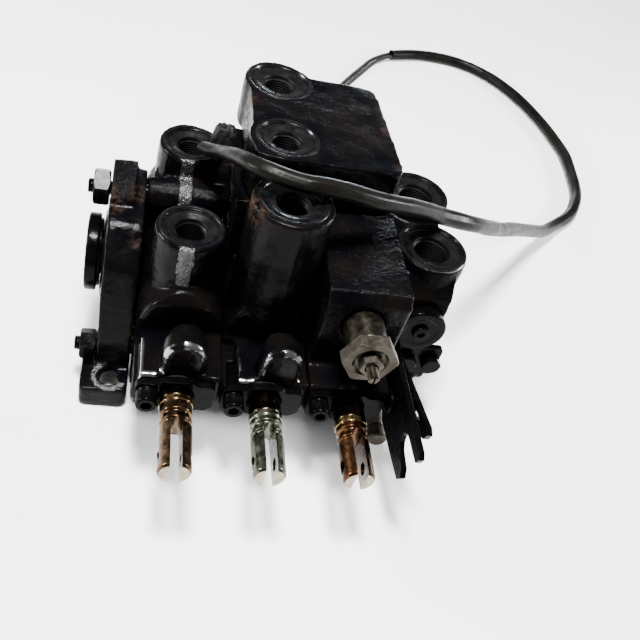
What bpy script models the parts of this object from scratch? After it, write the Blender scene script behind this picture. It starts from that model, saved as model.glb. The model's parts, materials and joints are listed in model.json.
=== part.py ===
"""Three-spool sectional hydraulic control valve, modelled piece by piece.

The valve's own coordinates are in millimetres: X runs along the stack of sections, Y runs from the
spool clevises to the spring caps, Z is up, and (0, 0, 0) lies on spool 1's axis just in front of its
flange. ORIGIN moves that frame so that the finished valve stands centred over the world origin.
"""
import math

import bmesh
import bpy
from mathutils import Matrix, Vector

# ---------------------------------------------------------------- driving dimensions, millimetres
MM = 0.001
GAP = 0.3                       # clearance kept between neighbouring solids
PITCH = 42.0                    # width of one spool section
STACK = (0.0, PITCH, 2 * PITCH)     # X of the three spool axes
BASE = -50.0                    # the surface the feet stand on, below the spool axes
BODY_Y = (6.0, 150.0)           # front and rear faces of the spool sections
BODY_BOTTOM = -38.0
LEDGE_Z = (-11.0, 9.0)          # underside and top of the low front flange
LEDGE_STEP = {1: 2.9, 2: 6.6}   # width of the lower strip along the flange's left side
ARCH_X, ARCH_Z, ARCH_R = {1: 1.9, 2: 5.2}, 20.0, 10.3   # blank boss over the spool, from its axis
SPOOL_R = 8.0
BORE_R = SPOOL_R + GAP
CLEVIS_TIP = -40.4
TAIL_R, TAIL_END = 5.0, 176.0   # thin rear end of a spool, inside its spring cap
STROKE = 7.0                    # each spool shifts this far both ways
RETAINER_SCREW_X, RETAINER_SCREW_Z = {1: -13.6, 2: -15.4, 3: -15.4}, 2.0    # from the spool's axis

WORK_PORT_R = 7.5               # G 3/8 work ports
MAIN_PORT_R = 9.8               # G 1/2 inlet and tank ports
SECTION_1_TOP, SECTION_1_DECK = 57.0, 33.0
HIGH_DECK = 57.0                # top of sections 2 and 3, under the raised port block
BLOCK_TOP = 85.0
INLET_TOP, INLET_DECK = 51.0, 44.0
PORT_1_Y = (58.0, 125.5)        # section 1's two work ports
PORT_2_Y = 51.0                 # section 2's tall front port
BLOCK_PORTS = ((43.0, 100.5), (43.0, 153.5))
BLOCK_PORT_R = (7.8, 8.7)
INLET_X = 3 * PITCH
INLET_PORT_Y = (72.0, 118.0)
RELIEF_Z = 38.0
POPPET_LIFT = 1.2

COVER_X = (-39.0, -21.0 - GAP)  # left end cover, outer and inner faces
TIE_RODS = (("rear_top", 103.0, 38.0, 17.0), ("front_low", 54.0, -27.0, 14.0),
            ("rear_low", 140.0, -25.0, 14.0))       # name, Y, Z, nut across flats
TIE_ROD_R = 4.0
END_PLUG = (85.0, 10.0)          # Y and Z of the end cover's round plug

CAP_Y = (BODY_Y[1] + GAP, 196.0)
SPRING_SEAT_Y = (BODY_Y[1] + STROKE + 1.0, BODY_Y[1] + STROKE + 2.7)
LEVER_X, ARM_X = (108.0, 111.0), (116.5, 119.5)
TAB_Z, TAB_BOLT_X, TAB_BOLT_Z = (-21.0, 0.5), (126.5, 141.0), -10.0
PIVOT = (8.0, 0.0)              # Y and Z of the fork lever's pin
DISC_PLUG = (INLET_X, 15.0)
DRAIN = (114.0, -40.0)
SWITCH = (84.0, 65.5)

ORIGIN = Vector(((-50.0 + INLET_X + 21.0) / 2, (CLEVIS_TIP + CAP_Y[1]) / 2, BASE))

SLEEVE_R, WIRE_R = 5.0, 1.6
SLEEVE_ROUTE = (                # from the port face, over the valve, down to the floor and around it
    (5.0, 114.2, 62.4), (8.6, 107.6, 66.2), (12.5, 100.3, 71.0), (18.7, 80.5, 83.0), (25.8, 63.2, 91.2),
    (43.5, 56.5, 91.0), (55.5, 55.8, 90.9), (68.0, 57.6, 88.6), (84.0, 62.5, 82.5), (99.0, 70.2, 75.8),
    (116.5, 81.0, 66.5), (132.4, 91.0, 57.4), (154.0, 100.0, 48.0), (175.0, 116.0, 35.0),
    (197.2, 136.6, 19.0), (226.0, 164.0, 0.0), (254.5, 191.0, -20.0), (282.0, 215.0, -36.5),
    (303.0, 234.8, -43.8), (318.0, 247.5, -44.7), (329.0, 261.0, -44.7), (340.5, 284.0, -44.7),
    (346.8, 312.9, -44.7), (350.5, 345.0, -44.7), (346.8, 376.5, -44.7), (341.0, 405.0, -44.7),
    (331.0, 432.6, -44.7), (317.5, 457.0, -44.7), (300.0, 474.5, -44.7), (281.0, 484.5, -44.7),
    (259.0, 488.0, -44.7), (232.0, 484.5, -44.7), (206.0, 475.1, -44.7))
WIRE_ROUTE = (                  # middle line of the two cores, from the sleeve back to the switch
    (205.3, 474.8, -45.2), (196.0, 470.0, -46.6), (184.0, 459.5, -48.0), (170.0, 439.0, -48.3),
    (152.0, 411.0, -48.3), (134.0, 379.0, -48.3), (116.0, 340.0, -48.3), (103.0, 302.0, -48.3),
    (95.0, 268.0, -48.3), (90.0, 240.0, -47.5), (87.5, 224.0, -41.0), (86.0, 214.0, -27.0),
    (85.0, 209.0, -5.0), (84.5, 207.0, 18.0), (84.2, 206.5, 34.0), (84.0, 205.0, 47.0),
    (84.0, 200.5, 57.5), (84.0, 193.5, 64.0), (84.0, 188.0, 65.4), (84.0, 183.6, 65.5))
WIRE_SPREAD = 2.2               # half the distance between the two cores


# ---------------------------------------------------------------- scene and materials
def clear_scene():
    for obj in list(bpy.data.objects):
        bpy.data.objects.remove(obj, do_unlink=True)


def make_material(name, colour, roughness, metallic):
    material = bpy.data.materials.new(name)
    material.use_nodes = True
    shader = material.node_tree.nodes["Principled BSDF"]
    shader.inputs["Base Color"].default_value = (*colour, 1.0)
    shader.inputs["Roughness"].default_value = roughness
    shader.inputs["Metallic"].default_value = metallic
    return material


def make_materials():
    return {
        "casting": make_material("casting", (0.010, 0.011, 0.013), 0.32, 0.0),
        "black_steel": make_material("black_steel", (0.016, 0.017, 0.019), 0.35, 0.0),
        "spool_bronze": make_material("spool_bronze", (0.42, 0.29, 0.17), 0.28, 1.0),
        "spool_green": make_material("spool_green", (0.47, 0.50, 0.42), 0.28, 1.0),
        "spool_amber": make_material("spool_amber", (0.45, 0.25, 0.12), 0.28, 1.0),
        "zinc": make_material("zinc", (0.55, 0.54, 0.50), 0.38, 1.0),
        "spring_steel": make_material("spring_steel", (0.35, 0.35, 0.36), 0.35, 1.0),
        "rubber": make_material("rubber", (0.015, 0.015, 0.015), 0.7, 0.0),
        "sleeve": make_material("sleeve", (0.060, 0.060, 0.052), 0.55, 0.0),
        "brass": make_material("brass", (0.55, 0.40, 0.16), 0.35, 1.0),
    }


# ---------------------------------------------------------------- shapes, in valve millimetres
AXES = {"X": (1, 2, 0), "Y": (2, 0, 1), "Z": (0, 1, 2)}     # u, v and the axis itself


def point(axis, u, v, along):
    """A valve point from two coordinates across an axis and one along it."""
    xyz = [0.0, 0.0, 0.0]
    for index, value in zip(AXES[axis], (u, v, along)):
        xyz[index] = value
    return Vector(xyz)


def across(axis, centre):
    return (centre[1], centre[0]) if axis == "Y" else centre


def prism(outline, axis, low, high):
    """Extrude a closed outline of points across the axis: (Y, Z), (X, Z) or (X, Y)."""
    bm = bmesh.new()
    low_ring = [bm.verts.new(point(axis, *across(axis, p), low)) for p in outline]
    high_ring = [bm.verts.new(point(axis, *across(axis, p), high)) for p in outline]
    bm.faces.new(low_ring)
    bm.faces.new(high_ring)
    for i in range(len(outline)):
        j = (i + 1) % len(outline)
        bm.faces.new((low_ring[i], low_ring[j], high_ring[j], high_ring[i]))
    bmesh.ops.recalc_face_normals(bm, faces=bm.faces)
    return bm


def box(x, y, z):
    return prism(((x[0], y[0]), (x[1], y[0]), (x[1], y[1]), (x[0], y[1])), "Z", *z)


def turned(profile, axis, centre=(0.0, 0.0), steps=24):
    """Revolve a closed profile of (radius, distance along the axis) points about an axis."""
    bm = bmesh.new()
    centre = across(axis, centre)
    rings = []
    for radius, along in profile:
        if radius == 0.0:
            rings.append([bm.verts.new(point(axis, *centre, along))])
            continue
        turn = [2 * math.pi * i / steps for i in range(steps)]
        rings.append([bm.verts.new(point(axis, centre[0] + radius * math.cos(a),
                                         centre[1] + radius * math.sin(a), along)) for a in turn])
    for ring, following in zip(rings, rings[1:] + rings[:1]):
        if len(ring) == len(following) == 1:
            continue
        for i in range(steps):
            j = (i + 1) % steps
            corners = [ring[i % len(ring)], ring[j % len(ring)],
                       following[j % len(following)], following[i % len(following)]]
            bm.faces.new(list(dict.fromkeys(corners)))
    bmesh.ops.recalc_face_normals(bm, faces=bm.faces)
    return bm


def rod(radius, axis, centre, low, high, steps=24):
    return turned(((0.0, low), (radius, low), (radius, high), (0.0, high)), axis, centre, steps)


def ring(inner, outer, axis, centre, low, high, steps=24):
    return turned(((inner, low), (outer, low), (outer, high), (inner, high)), axis, centre, steps)


def hexagon(flats, centre=(0.0, 0.0), turn=0.0):
    radius = flats / math.sqrt(3)
    angles = [math.radians(turn + 60 * i) for i in range(6)]
    return [(centre[0] + radius * math.cos(a), centre[1] + radius * math.sin(a)) for a in angles]


def rounded(corners, radius, steps=3):
    """Round every corner of an outline with an arc of about the given radius."""
    outline = []
    for i, corner in enumerate(corners):
        here = Vector(corner)
        before, after = Vector(corners[i - 1]) - here, Vector(corners[(i + 1) % len(corners)]) - here
        reach = min(radius, before.length * 0.45, after.length * 0.45)
        start, end = here + before.normalized() * reach, here + after.normalized() * reach
        for k in range(steps + 1):
            t = k / steps
            outline.append(tuple(start * (1 - t) ** 2 + here * 2 * t * (1 - t) + end * t ** 2))
    return outline


def coil(radius, wire, centre, low, high, turns, steps=7, sides=4):
    """A closed helical wire along Y."""
    bm = bmesh.new()
    rings, count = [], int(turns * steps)
    for i in range(count + 1):
        angle = 2 * math.pi * i / steps
        y = low + wire + (high - low - 2 * wire) * i / count
        out = Vector((math.cos(angle), 0.0, math.sin(angle)))
        middle = Vector((centre[0], y, centre[1])) + out * radius
        rings.append([bm.verts.new(middle + out * wire * math.cos(2 * math.pi * k / sides)
                                   + Vector((0, 1, 0)) * wire * math.sin(2 * math.pi * k / sides))
                      for k in range(sides)])
    for ring_a, ring_b in zip(rings, rings[1:]):
        for k in range(sides):
            m = (k + 1) % sides
            bm.faces.new((ring_a[k], ring_a[m], ring_b[m], ring_b[k]))
    bm.faces.new(rings[0])
    bm.faces.new(rings[-1])
    bmesh.ops.recalc_face_normals(bm, faces=bm.faces)
    return bm


# ---------------------------------------------------------------- objects
def as_object(name, bm, material, anchor=(0.0, 0.0, 0.0)):
    """Turn a valve-millimetre mesh into an object in metres whose origin is the anchor."""
    anchor = Vector(anchor)
    bmesh.ops.transform(bm, matrix=Matrix.Scale(MM, 4) @ Matrix.Translation(-anchor), verts=bm.verts)
    mesh = bpy.data.meshes.new(name)
    bm.to_mesh(mesh)
    bm.free()
    obj = bpy.data.objects.new(name, mesh)
    obj.location = (anchor - ORIGIN) * MM
    mesh.materials.append(material)
    bpy.context.scene.collection.objects.link(obj)
    return obj


def shade(obj, degrees=35):
    obj.data.shade_smooth()
    obj.data.set_sharp_from_angle(angle=math.radians(degrees))
    return obj


def apply_boolean(obj, tool_bm, operation):
    tool = as_object("tool", tool_bm, obj.data.materials[0])
    modifier = obj.modifiers.new(operation, "BOOLEAN")
    modifier.operation, modifier.solver, modifier.object = operation, "EXACT", tool
    bpy.context.view_layer.update()
    evaluated = obj.evaluated_get(bpy.context.evaluated_depsgraph_get())
    result = bpy.data.meshes.new_from_object(evaluated)
    result.name = obj.name
    old = obj.data
    obj.modifiers.clear()
    obj.data = result
    bpy.data.meshes.remove(old)
    bpy.data.objects.remove(tool, do_unlink=True)


def solid(name, material, first, adds=(), cuts=(), anchor=(0.0, 0.0, 0.0), within=None):
    """One named piece: a first shape, kept within another, shapes fused to it, then shapes cut."""
    obj = as_object(name, first, material, anchor)
    if within:
        apply_boolean(obj, within, "INTERSECT")
    for tool in adds:
        apply_boolean(obj, tool, "UNION")
    for tool in cuts:
        apply_boolean(obj, tool, "DIFFERENCE")
    return shade(obj)


# ---------------------------------------------------------------- castings
def port_bore(radius, centre, top, bottom):
    """A threaded port seen as its tapping bore, a chamfer and a shallow spotface."""
    return turned(((0.0, bottom), (radius, bottom), (radius, top - 3.5), (radius + 2.2, top - 0.9),
                   (radius * 1.9, top - 0.9), (radius * 1.9, top + 2.0), (0.0, top + 2.0)),
                  "Z", centre, 20)


def tie_rod_bores(low, high):
    return [rod(TIE_ROD_R + GAP, "X", (y, z), low, high, 12) for _, y, z, _ in TIE_RODS]


def spool_bore(x):
    """The spool's bore with a counterbore for its wiper ring."""
    front, rear = BODY_Y
    return turned(((0.0, front - 5), (9.9, front - 5), (9.9, front + 4), (BORE_R, front + 4),
                   (BORE_R, rear + 5), (0.0, rear + 5)), "Y", (x, 0.0), 20)


def screw_place(number):
    return (STACK[number - 1] + RETAINER_SCREW_X[number], RETAINER_SCREW_Z)


def section_outline(deck, wall_y):
    """Side profile of a spool section: low front flange, then the main body."""
    front, rear = BODY_Y
    low, high = LEDGE_Z
    return [(front + 1.5, low), (front, low + 1.5), (front, high - 1.2), (front + 1.2, high),
            (wall_y, high), (wall_y, deck - 6), (wall_y + 4, deck),
            (rear - 4, deck), (rear, deck - 4), (rear, BODY_BOTTOM + 4), (rear - 4, BODY_BOTTOM),
            (38.0, BODY_BOTTOM), (34.0, BODY_BOTTOM + 5), (34.0, low)]


def barrel_outline(x, top):
    """Cross-section of a spool barrel: upright sides under a rounded back."""
    half, spring = PITCH / 2 - GAP / 2, 9.0
    back = [(x + half * math.cos(a), spring + (top - spring) * math.sin(a))
            for a in [math.pi * i / 14 for i in range(15)]]
    return back + [(x - half, BODY_BOTTOM - 5), (x + half, BODY_BOTTOM - 5)]


def arch(x, r):
    """A round-headed outline with upright sides."""
    head = [(x + r * math.cos(a), ARCH_Z + r * math.sin(a)) for a in [math.pi * i / 12 for i in range(13)]]
    return head + [(x - r, 0.0), (x + r, 0.0)]


def section(number, material):
    x = STACK[number - 1]
    sides = (x - PITCH / 2 + GAP / 2, x + PITCH / 2 - GAP / 2)
    deck = HIGH_DECK if number == 3 else SECTION_1_DECK
    wall_y = {1: 34.0, 2: 34.0, 3: 22.0}[number]
    within = None if number == 3 else prism(barrel_outline(x, deck), "Y", 0.0, 160.0)
    adds, cuts = [], [spool_bore(x)] + tie_rod_bores(sides[0] - 5, sides[1] + 5)
    cuts.append(rod(3.0 + GAP, "Y", screw_place(number), BODY_Y[0] - 5, BODY_Y[0] + 16, 12))
    if number == 1:
        for y in PORT_1_Y:
            adds.append(turned(((0.0, 10.0), (18.5, 10.0), (17.3, SECTION_1_TOP - 1.0),
                                (16.3, SECTION_1_TOP), (0.0, SECTION_1_TOP)), "Z", (x, y), 26))
            cuts.append(port_bore(WORK_PORT_R, (x, y), SECTION_1_TOP, 0.0))
        name, y, z, _ = TIE_RODS[0]
        adds.append(rod(9.0, "X", (y, z), *sides, 18))
        adds.append(prism(((112.0, 20.0), (114.0, 48.0), (118.0, 52.0), (144.0, 52.0), (147.0, 20.0)), "X",
                          13.0, sides[1]))
    if number == 2:
        adds.append(prism(((78.0, 0.0), (78.0, 50.0), (82.0, HIGH_DECK), (BODY_Y[1] - 4, HIGH_DECK),
                           (BODY_Y[1], 53.0), (BODY_Y[1], 0.0)), "X", *sides))
        adds.append(turned(((0.0, 5.0), (20.3, 5.0), (19.8, BLOCK_TOP - 1.0), (18.8, BLOCK_TOP),
                            (0.0, BLOCK_TOP)), "Z", (x, PORT_2_Y), 26))
        cuts.append(port_bore(8.0, (x, PORT_2_Y), BLOCK_TOP, 0.0))
        cuts.append(rod(6.0, "Z", BLOCK_PORTS[0], 0.0, HIGH_DECK + 5, 14))
    if number == 3:
        cuts.append(rod(10.0 + GAP, "Y", (x, RELIEF_Z), wall_y - 5, 62.0, 18))
    else:
        arch_x = x + ARCH_X[number]
        adds += [prism(arch(arch_x, ARCH_R - inset), "Y", BODY_Y[0] + face, BODY_Y[0] + back)
                 for inset, face, back in ((2.4, 0.8, 18.0), (1.0, 1.5, 15.0), (0.0, 3.2, 12.0))]
        step_x, front = sides[0] + LEDGE_STEP[number], BODY_Y[0]
        cuts.append(prism(((front - 2, 4.0), (33.0, 4.0), (33.0, 12.0), (front - 2, 12.0)), "X",
                          sides[0] - 2, step_x))
    return solid(f"section_{number}_body", material, prism(section_outline(deck, wall_y), "X", *sides),
                 adds, cuts, (x, 0.0, 0.0), within)


def left_end_cover(material):
    outline = rounded(((47.0, BASE + 6), (47.0, -12.0), (58.0, 26.0), (76.0, 41.0), (93.0, 41.0),
                       (104.0, 25.0), (150.0, 20.0), (150.0, BASE + 6)), 6.0)
    foot_x, foot_top = (-46.0, COVER_X[1]), -36.0

    def foot(y_low, y_high):
        return prism(rounded(((foot_x[0], y_low), (foot_x[1], y_low), (foot_x[1], y_high),
                              (foot_x[0], y_high)), 4.0), "Z", BASE, foot_top)
    lug = prism(rounded(((84.0, 20.0), (86.0, 44.0), (96.0, 50.5), (114.0, 50.5), (120.0, 20.0)), 4.0),
                "X", -38.7, -26.5)
    shoulder = prism(rounded(((82.0, 20.0), (84.0, 38.0), (93.0, 46.0), (114.0, 46.0), (121.0, 20.0)), 4.0),
                     "X", -30.0, COVER_X[1])
    adds = [foot(31.0, 60.0), foot(137.0, 166.0), lug, shoulder,
            rod(22.0, "X", END_PLUG, COVER_X[0] - 1.2, COVER_X[1], 24)]
    cuts = tie_rod_bores(COVER_X[0] - 12, COVER_X[1] + 5)
    cuts += [rod(5.5, "Z", (-31.0, y), BASE - 5, foot_top + 5, 14) for y in (40.5, 156.5)]
    cuts.append(rod(11.0 + GAP, "X", END_PLUG, COVER_X[0] - 10, COVER_X[0] + 12.0, 18))
    return solid("left_end_cover", material, prism(outline, "X", *COVER_X), adds, cuts,
                 (COVER_X[0], 0.0, 0.0))


def inlet_section(material):
    sides = (INLET_X - PITCH / 2 + GAP / 2, 139.0)
    outline = [(50.0, BASE), (50.0, 34.0), (56.0, INLET_DECK), (137.0, INLET_DECK), (140.0, 40.0),
               (140.0, BASE), (114.0, BASE), (112.0, BASE + 7), (78.0, BASE + 7), (76.0, BASE)]
    adds = [turned(((0.0, 0.0), (17.0, 0.0), (19.5, INLET_TOP - 12), (19.5, INLET_TOP - 1.0),
                    (18.5, INLET_TOP), (0.0, INLET_TOP)), "Z", (INLET_X, y), 26) for y in INLET_PORT_Y]
    adds += [rod(15.0, "X", (80.0, 10.0), 120.0, INLET_X + PITCH / 2, 20),
             rod(9.0, "X", (60.0, TIE_RODS[1][2]), 120.0, 145.0, 16)]
    cuts = [port_bore(MAIN_PORT_R, (INLET_X, y), INLET_TOP, 4.0) for y in INLET_PORT_Y]
    cuts += tie_rod_bores(sides[0] - 5, INLET_X + 9.5)
    cuts.append(rod(8.0 + GAP, "Y", DISC_PLUG, 45.0, 62.0, 18))
    cuts.append(rod(4.0 + GAP, "Y", DRAIN, 45.0, 62.0, 12))
    cuts += [rod(3.0 + GAP, "Y", (x, TAB_BOLT_Z), 45.0, 66.0, 10) for x in TAB_BOLT_X]
    return solid("inlet_section_body", material, prism(outline, "X", *sides), adds, cuts,
                 (INLET_X, 0.0, 0.0))


def raised_port_block(material):
    low = HIGH_DECK + GAP
    outline = rounded(((26.0, 82.0), (102.0, 82.0), (98.0, 162.0), (26.0, 162.0)), 8.0, 4)
    adds = [rod(19.5, "Z", centre, low, BLOCK_TOP, 26) for centre in BLOCK_PORTS]
    cuts = [port_bore(r, centre, BLOCK_TOP, low - 5) for r, centre in zip(BLOCK_PORT_R, BLOCK_PORTS)]
    cuts.append(rod(4.5 + GAP, "Y", SWITCH, 148.0, 170.0, 14))
    return solid("raised_port_block", material, prism(outline, "Z", low, BLOCK_TOP), adds, cuts,
                 (*BLOCK_PORTS[0], low))


# ---------------------------------------------------------------- spools and their hardware
def spool(number, material):
    """Front clevis, collar and neck, lands and grooves inside the bore, then a plain tail."""
    x = STACK[number - 1]
    neck = {1: -2.0, 2: -3.0, 3: -4.0}[number]
    tip, r = CLEVIS_TIP, SPOOL_R
    profile = [(0.0, tip), (5.6, tip), (r - 0.3, tip + 2.6), (r - 0.3, neck - 3.0), (r - 1.4, neck - 2.4),
               (r - 1.4, neck), (r, neck + 0.6), (r, 30.0)]
    for start, end in ((40.0, 56.0), (96.0, 112.0)):
        profile += [(r, start), (5.4, start + 1.0), (5.4, end - 1.0), (r, end)]
    profile += [(r, 149.0), (TAIL_R, 149.0), (TAIL_R, TAIL_END), (0.0, TAIL_END)]
    cuts = [slot_cutter(x), rod(3.2, "X", (-33.0, 0.0), x - 12, x + 12, 12)]
    return solid(f"spool_{number}", material, turned(profile, "Y", (x, 0.0), 20), (), cuts, (x, 0.0, 0.0))


def slot_cutter(x):
    """The clevis slot: open at the tip, round at its inner end."""
    half, inner = 2.6, -17.0
    arc = [(x + half * math.cos(a), inner + half * math.sin(a))
           for a in [math.pi * i / 6 for i in range(7)]]
    return prism(arc + [(x - half, CLEVIS_TIP - 5), (x + half, CLEVIS_TIP - 5)], "Z", -12.0, 12.0)


def spool_hardware(number, materials):
    x = STACK[number - 1]
    front = BODY_Y[0]
    steel, rubber = materials["black_steel"], materials["rubber"]
    end = screw_place(number)
    plate_y = (front - 4.0, front - GAP)
    left = RETAINER_SCREW_X[number] - 5.4
    outline = ((left, -6.2), (left + 3.2, -9.4), (-7.0, -9.4), (-5.0, -10.2), (5.0, -10.2), (7.0, -9.4),
               (14.6, -9.4), (17.8, -6.2), (17.8, 5.6), (15.8, 7.6), (9.5, 7.6), (6.5, 9.7), (-6.5, 9.7),
               (-9.5, 7.6), (left + 2.0, 7.6), (left, 5.6))
    plate = prism(rounded([(x + u, v) for u, v in outline], 1.0), "Y", *plate_y)
    solid(f"retainer_plate_{number}", steel, plate, (),
          [rod(3.0 + GAP, "Y", end, plate_y[0] - 3, plate_y[1] + 3, 10),
           rod(BORE_R + 0.2, "Y", (x, 0.0), plate_y[0] - 3, plate_y[1] + 3, 20)], (x, front, 0.0))
    solid(f"wiper_ring_{number}", rubber,
          ring(BORE_R, 9.6, "Y", (x, 0.0), front + GAP, front + 3.6, 18), anchor=(x, front, 0.0))
    head_front = plate_y[0] - GAP - 8.0
    shank = turned(((0.0, head_front), (4.6, head_front), (5.0, head_front + 0.5),
                    (5.0, plate_y[0] - GAP), (3.0, plate_y[0] - GAP), (3.0, front + 14.0),
                    (0.0, front + 14.0)), "Y", end, 14)
    socket = prism(hexagon(5.0, end), "Y", head_front - 3, head_front + 4.0)
    solid(f"retainer_screw_{number}", steel, shank, (), [socket], (end[0], front, end[1]))

    cap = turned(((12.0, CAP_Y[0]), (15.0, CAP_Y[0]), (15.0, CAP_Y[1] - 2.0), (13.0, CAP_Y[1]),
                  (0.0, CAP_Y[1]), (0.0, CAP_Y[1] - 3.0), (12.0, CAP_Y[1] - 3.0)), "Y", (x, 0.0), 20)
    solid(f"spring_cap_{number}", steel, cap, anchor=(x, CAP_Y[0], 0.0))
    solid(f"spring_seat_{number}", materials["zinc"],
          ring(TAIL_R + GAP, 11.0, "Y", (x, 0.0), *SPRING_SEAT_Y, 18), anchor=(x, 0.0, 0.0))
    spring_y = (SPRING_SEAT_Y[1] + GAP, TAIL_END - GAP)
    solid(f"centring_spring_{number}", materials["spring_steel"],
          coil(7.8, 1.1, (x, 0.0), *spring_y, 4.0), anchor=(x, 0.0, 0.0))
    bolt = turned(((0.0, TAIL_END + GAP), (10.5, TAIL_END + GAP), (10.5, TAIL_END + 2.5),
                   (4.5, TAIL_END + 2.5), (4.5, TAIL_END + 6.5), (0.0, TAIL_END + 6.5)), "Y", (x, 0.0), 18)
    solid(f"spool_end_bolt_{number}", steel, bolt, anchor=(x, 0.0, 0.0))


# ---------------------------------------------------------------- stack fasteners and end plug
def tie_rods(material):
    for name, y, z, flats in TIE_RODS:
        rod_body = turned(((0.0, -50.0), (TIE_ROD_R - 0.6, -50.0), (TIE_ROD_R, -49.4),
                           (TIE_ROD_R, INLET_X + 9.0), (0.0, INLET_X + 9.0)), "X", (y, z), 10)
        solid(f"tie_rod_{name}", material, rod_body, anchor=(COVER_X[0], y, z))
        face = COVER_X[0] - GAP
        nut = prism(hexagon(flats, (y, z), 30.0), "X", face - 8.0, face)
        solid(f"tie_nut_{name}", material, nut, (), [rod(TIE_ROD_R + GAP, "X", (y, z), face - 12, face + 4, 10)],
              (face, y, z))


def end_plug(material):
    face = COVER_X[0] - 1.2 - GAP
    profile = ((0.0, -48.0), (13.0, -48.0), (13.8, -46.8), (18.4, -46.8), (20.0, -45.4), (20.0, -42.6),
               (18.0, -42.0), (18.0, face), (11.0, face), (11.0, COVER_X[0] + 10.0), (0.0, COVER_X[0] + 10.0))
    solid("end_plug", material, turned(profile, "X", END_PLUG, 26), anchor=(face, *END_PLUG))


# ---------------------------------------------------------------- relief valve
def relief_valve(materials):
    x, z = STACK[2], RELIEF_Z
    zinc, steel = materials["zinc"], materials["spring_steel"]
    hex_head = prism(hexagon(24.0, (x, z), 3.0), "Y", -1.0, 5.5)
    barrel = rod(10.0, "Y", (x, z), 3.0, 58.0, 24)
    dish = turned(((0.0, 0.5), (7.5, 0.5), (9.5, -2.0), (0.0, -2.0)), "Y", (x, z), 20)
    bore = turned(((0.0, -4.0), (3.3, -4.0), (3.3, 9.0), (5.2, 9.0), (5.2, 60.0), (0.0, 60.0)),
                  "Y", (x, z), 14)
    solid("relief_body", zinc, hex_head, [barrel], [dish, bore], (x, 0.0, z))
    nut = prism(hexagon(10.0, (x, z), 20.0), "Y", -4.4, 0.5 - GAP)
    solid("relief_lock_nut", zinc, nut, (), [rod(3.3, "Y", (x, z), -10, 5, 12)], (x, -4.0, z))
    adjuster = turned(((0.0, -11.5), (2.4, -11.5), (3.0, -10.7), (3.0, 9.5), (4.8, 9.5), (4.8, 12.0),
                       (0.0, 12.0)), "Y", (x, z), 14)
    slot = box((x - 0.5, x + 0.5), (-13.0, -10.0), (z - 4, z + 4))
    solid("relief_adjuster", zinc, adjuster, (), [slot], (x, 0.0, z))
    solid("relief_spring", steel, coil(3.9, 0.65, (x, z), 12.0 + GAP, 42.0 - POPPET_LIFT, 6.0),
          anchor=(x, 12.3, z))
    poppet = turned(((0.0, 42.0 + GAP), (4.9, 42.0 + GAP), (4.9, 50.0), (1.2, 56.5), (0.0, 56.5)),
                    "Y", (x, z), 14)
    solid("relief_poppet", steel, poppet, anchor=(x, 42.3, z))


# ---------------------------------------------------------------- inlet section's fittings
def inlet_fittings(materials):
    x, z = DISC_PLUG
    disc = turned(((0.0, 43.8), (13.2, 43.8), (14.0, 44.6), (14.0, 49.7), (8.0, 49.7), (8.0, 60.0),
                   (0.0, 60.0)), "Y", (x, z), 24)
    solid("inlet_disc_plug", materials["black_steel"], disc, (), [rod(2.8, "Y", (x, z), 40, 54, 10)],
          (x, 44.0, z))
    screw = turned(((0.0, 42.0), (4.2, 42.0), (4.6, 42.4), (4.6, 43.5), (2.5, 43.5), (2.5, 52.0),
                    (0.0, 52.0)), "Y", (x, z), 14)
    solid("inlet_disc_screw", materials["black_steel"], screw, (),
          [prism(hexagon(4.0, (x, z)), "Y", 38.0, 43.0)], (x, 43.5, z))
    x, z = DRAIN
    drain = turned(((0.0, 12.0), (4.4, 12.0), (5.6, 13.2), (5.6, 34.0), (6.4, 34.0), (6.4, 42.0), (4.6, 42.0),
                    (4.6, 49.7), (4.0, 49.7), (4.0, 60.0), (0.0, 60.0)), "Y", (x, z), 18)
    solid("drain_fitting", materials["zinc"], drain, anchor=(x, 49.7, z))
    x, z = SWITCH
    hex_part = prism(hexagon(15.5, (x, z)), "Y", 162.3, 168.0)
    barrel = turned(((0.0, 150.0), (4.5, 150.0), (4.5, 165.0), (7.4, 168.0), (7.4, 177.0), (6.4, 178.4),
                     (5.0, 178.4), (5.0, 183.0), (0.0, 183.0)), "Y", (x, z), 18)
    solid("pressure_switch", materials["brass"], hex_part, [barrel], anchor=(x, 162.0, z))


def fork_lever(material):
    """Flat lever with a two-pronged fork that takes the linkage rod, turning on the pivot pin."""
    notch = [(-22.5 + 7.0 * math.cos(a), 3.8 + 7.0 * math.sin(a))
             for a in [math.pi / 2 - math.pi * i / 6 for i in range(7)]]
    outline = [(31.0, 17.0), (-34.5, 18.0), (-37.6, 16.0), (-36.0, 11.2)] + notch + \
              [(-29.0, -4.0), (-32.0, -8.0), (-29.5, -13.0), (-8.0, -15.0), (8.0, -16.0), (22.0, -8.0),
               (33.0, 9.0)]
    return solid("fork_lever", material, prism(outline, "X", *LEVER_X), (),
                 [rod(4.0 + GAP, "X", PIVOT, 100, 115, 14)], (LEVER_X[0], *PIVOT))


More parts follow.
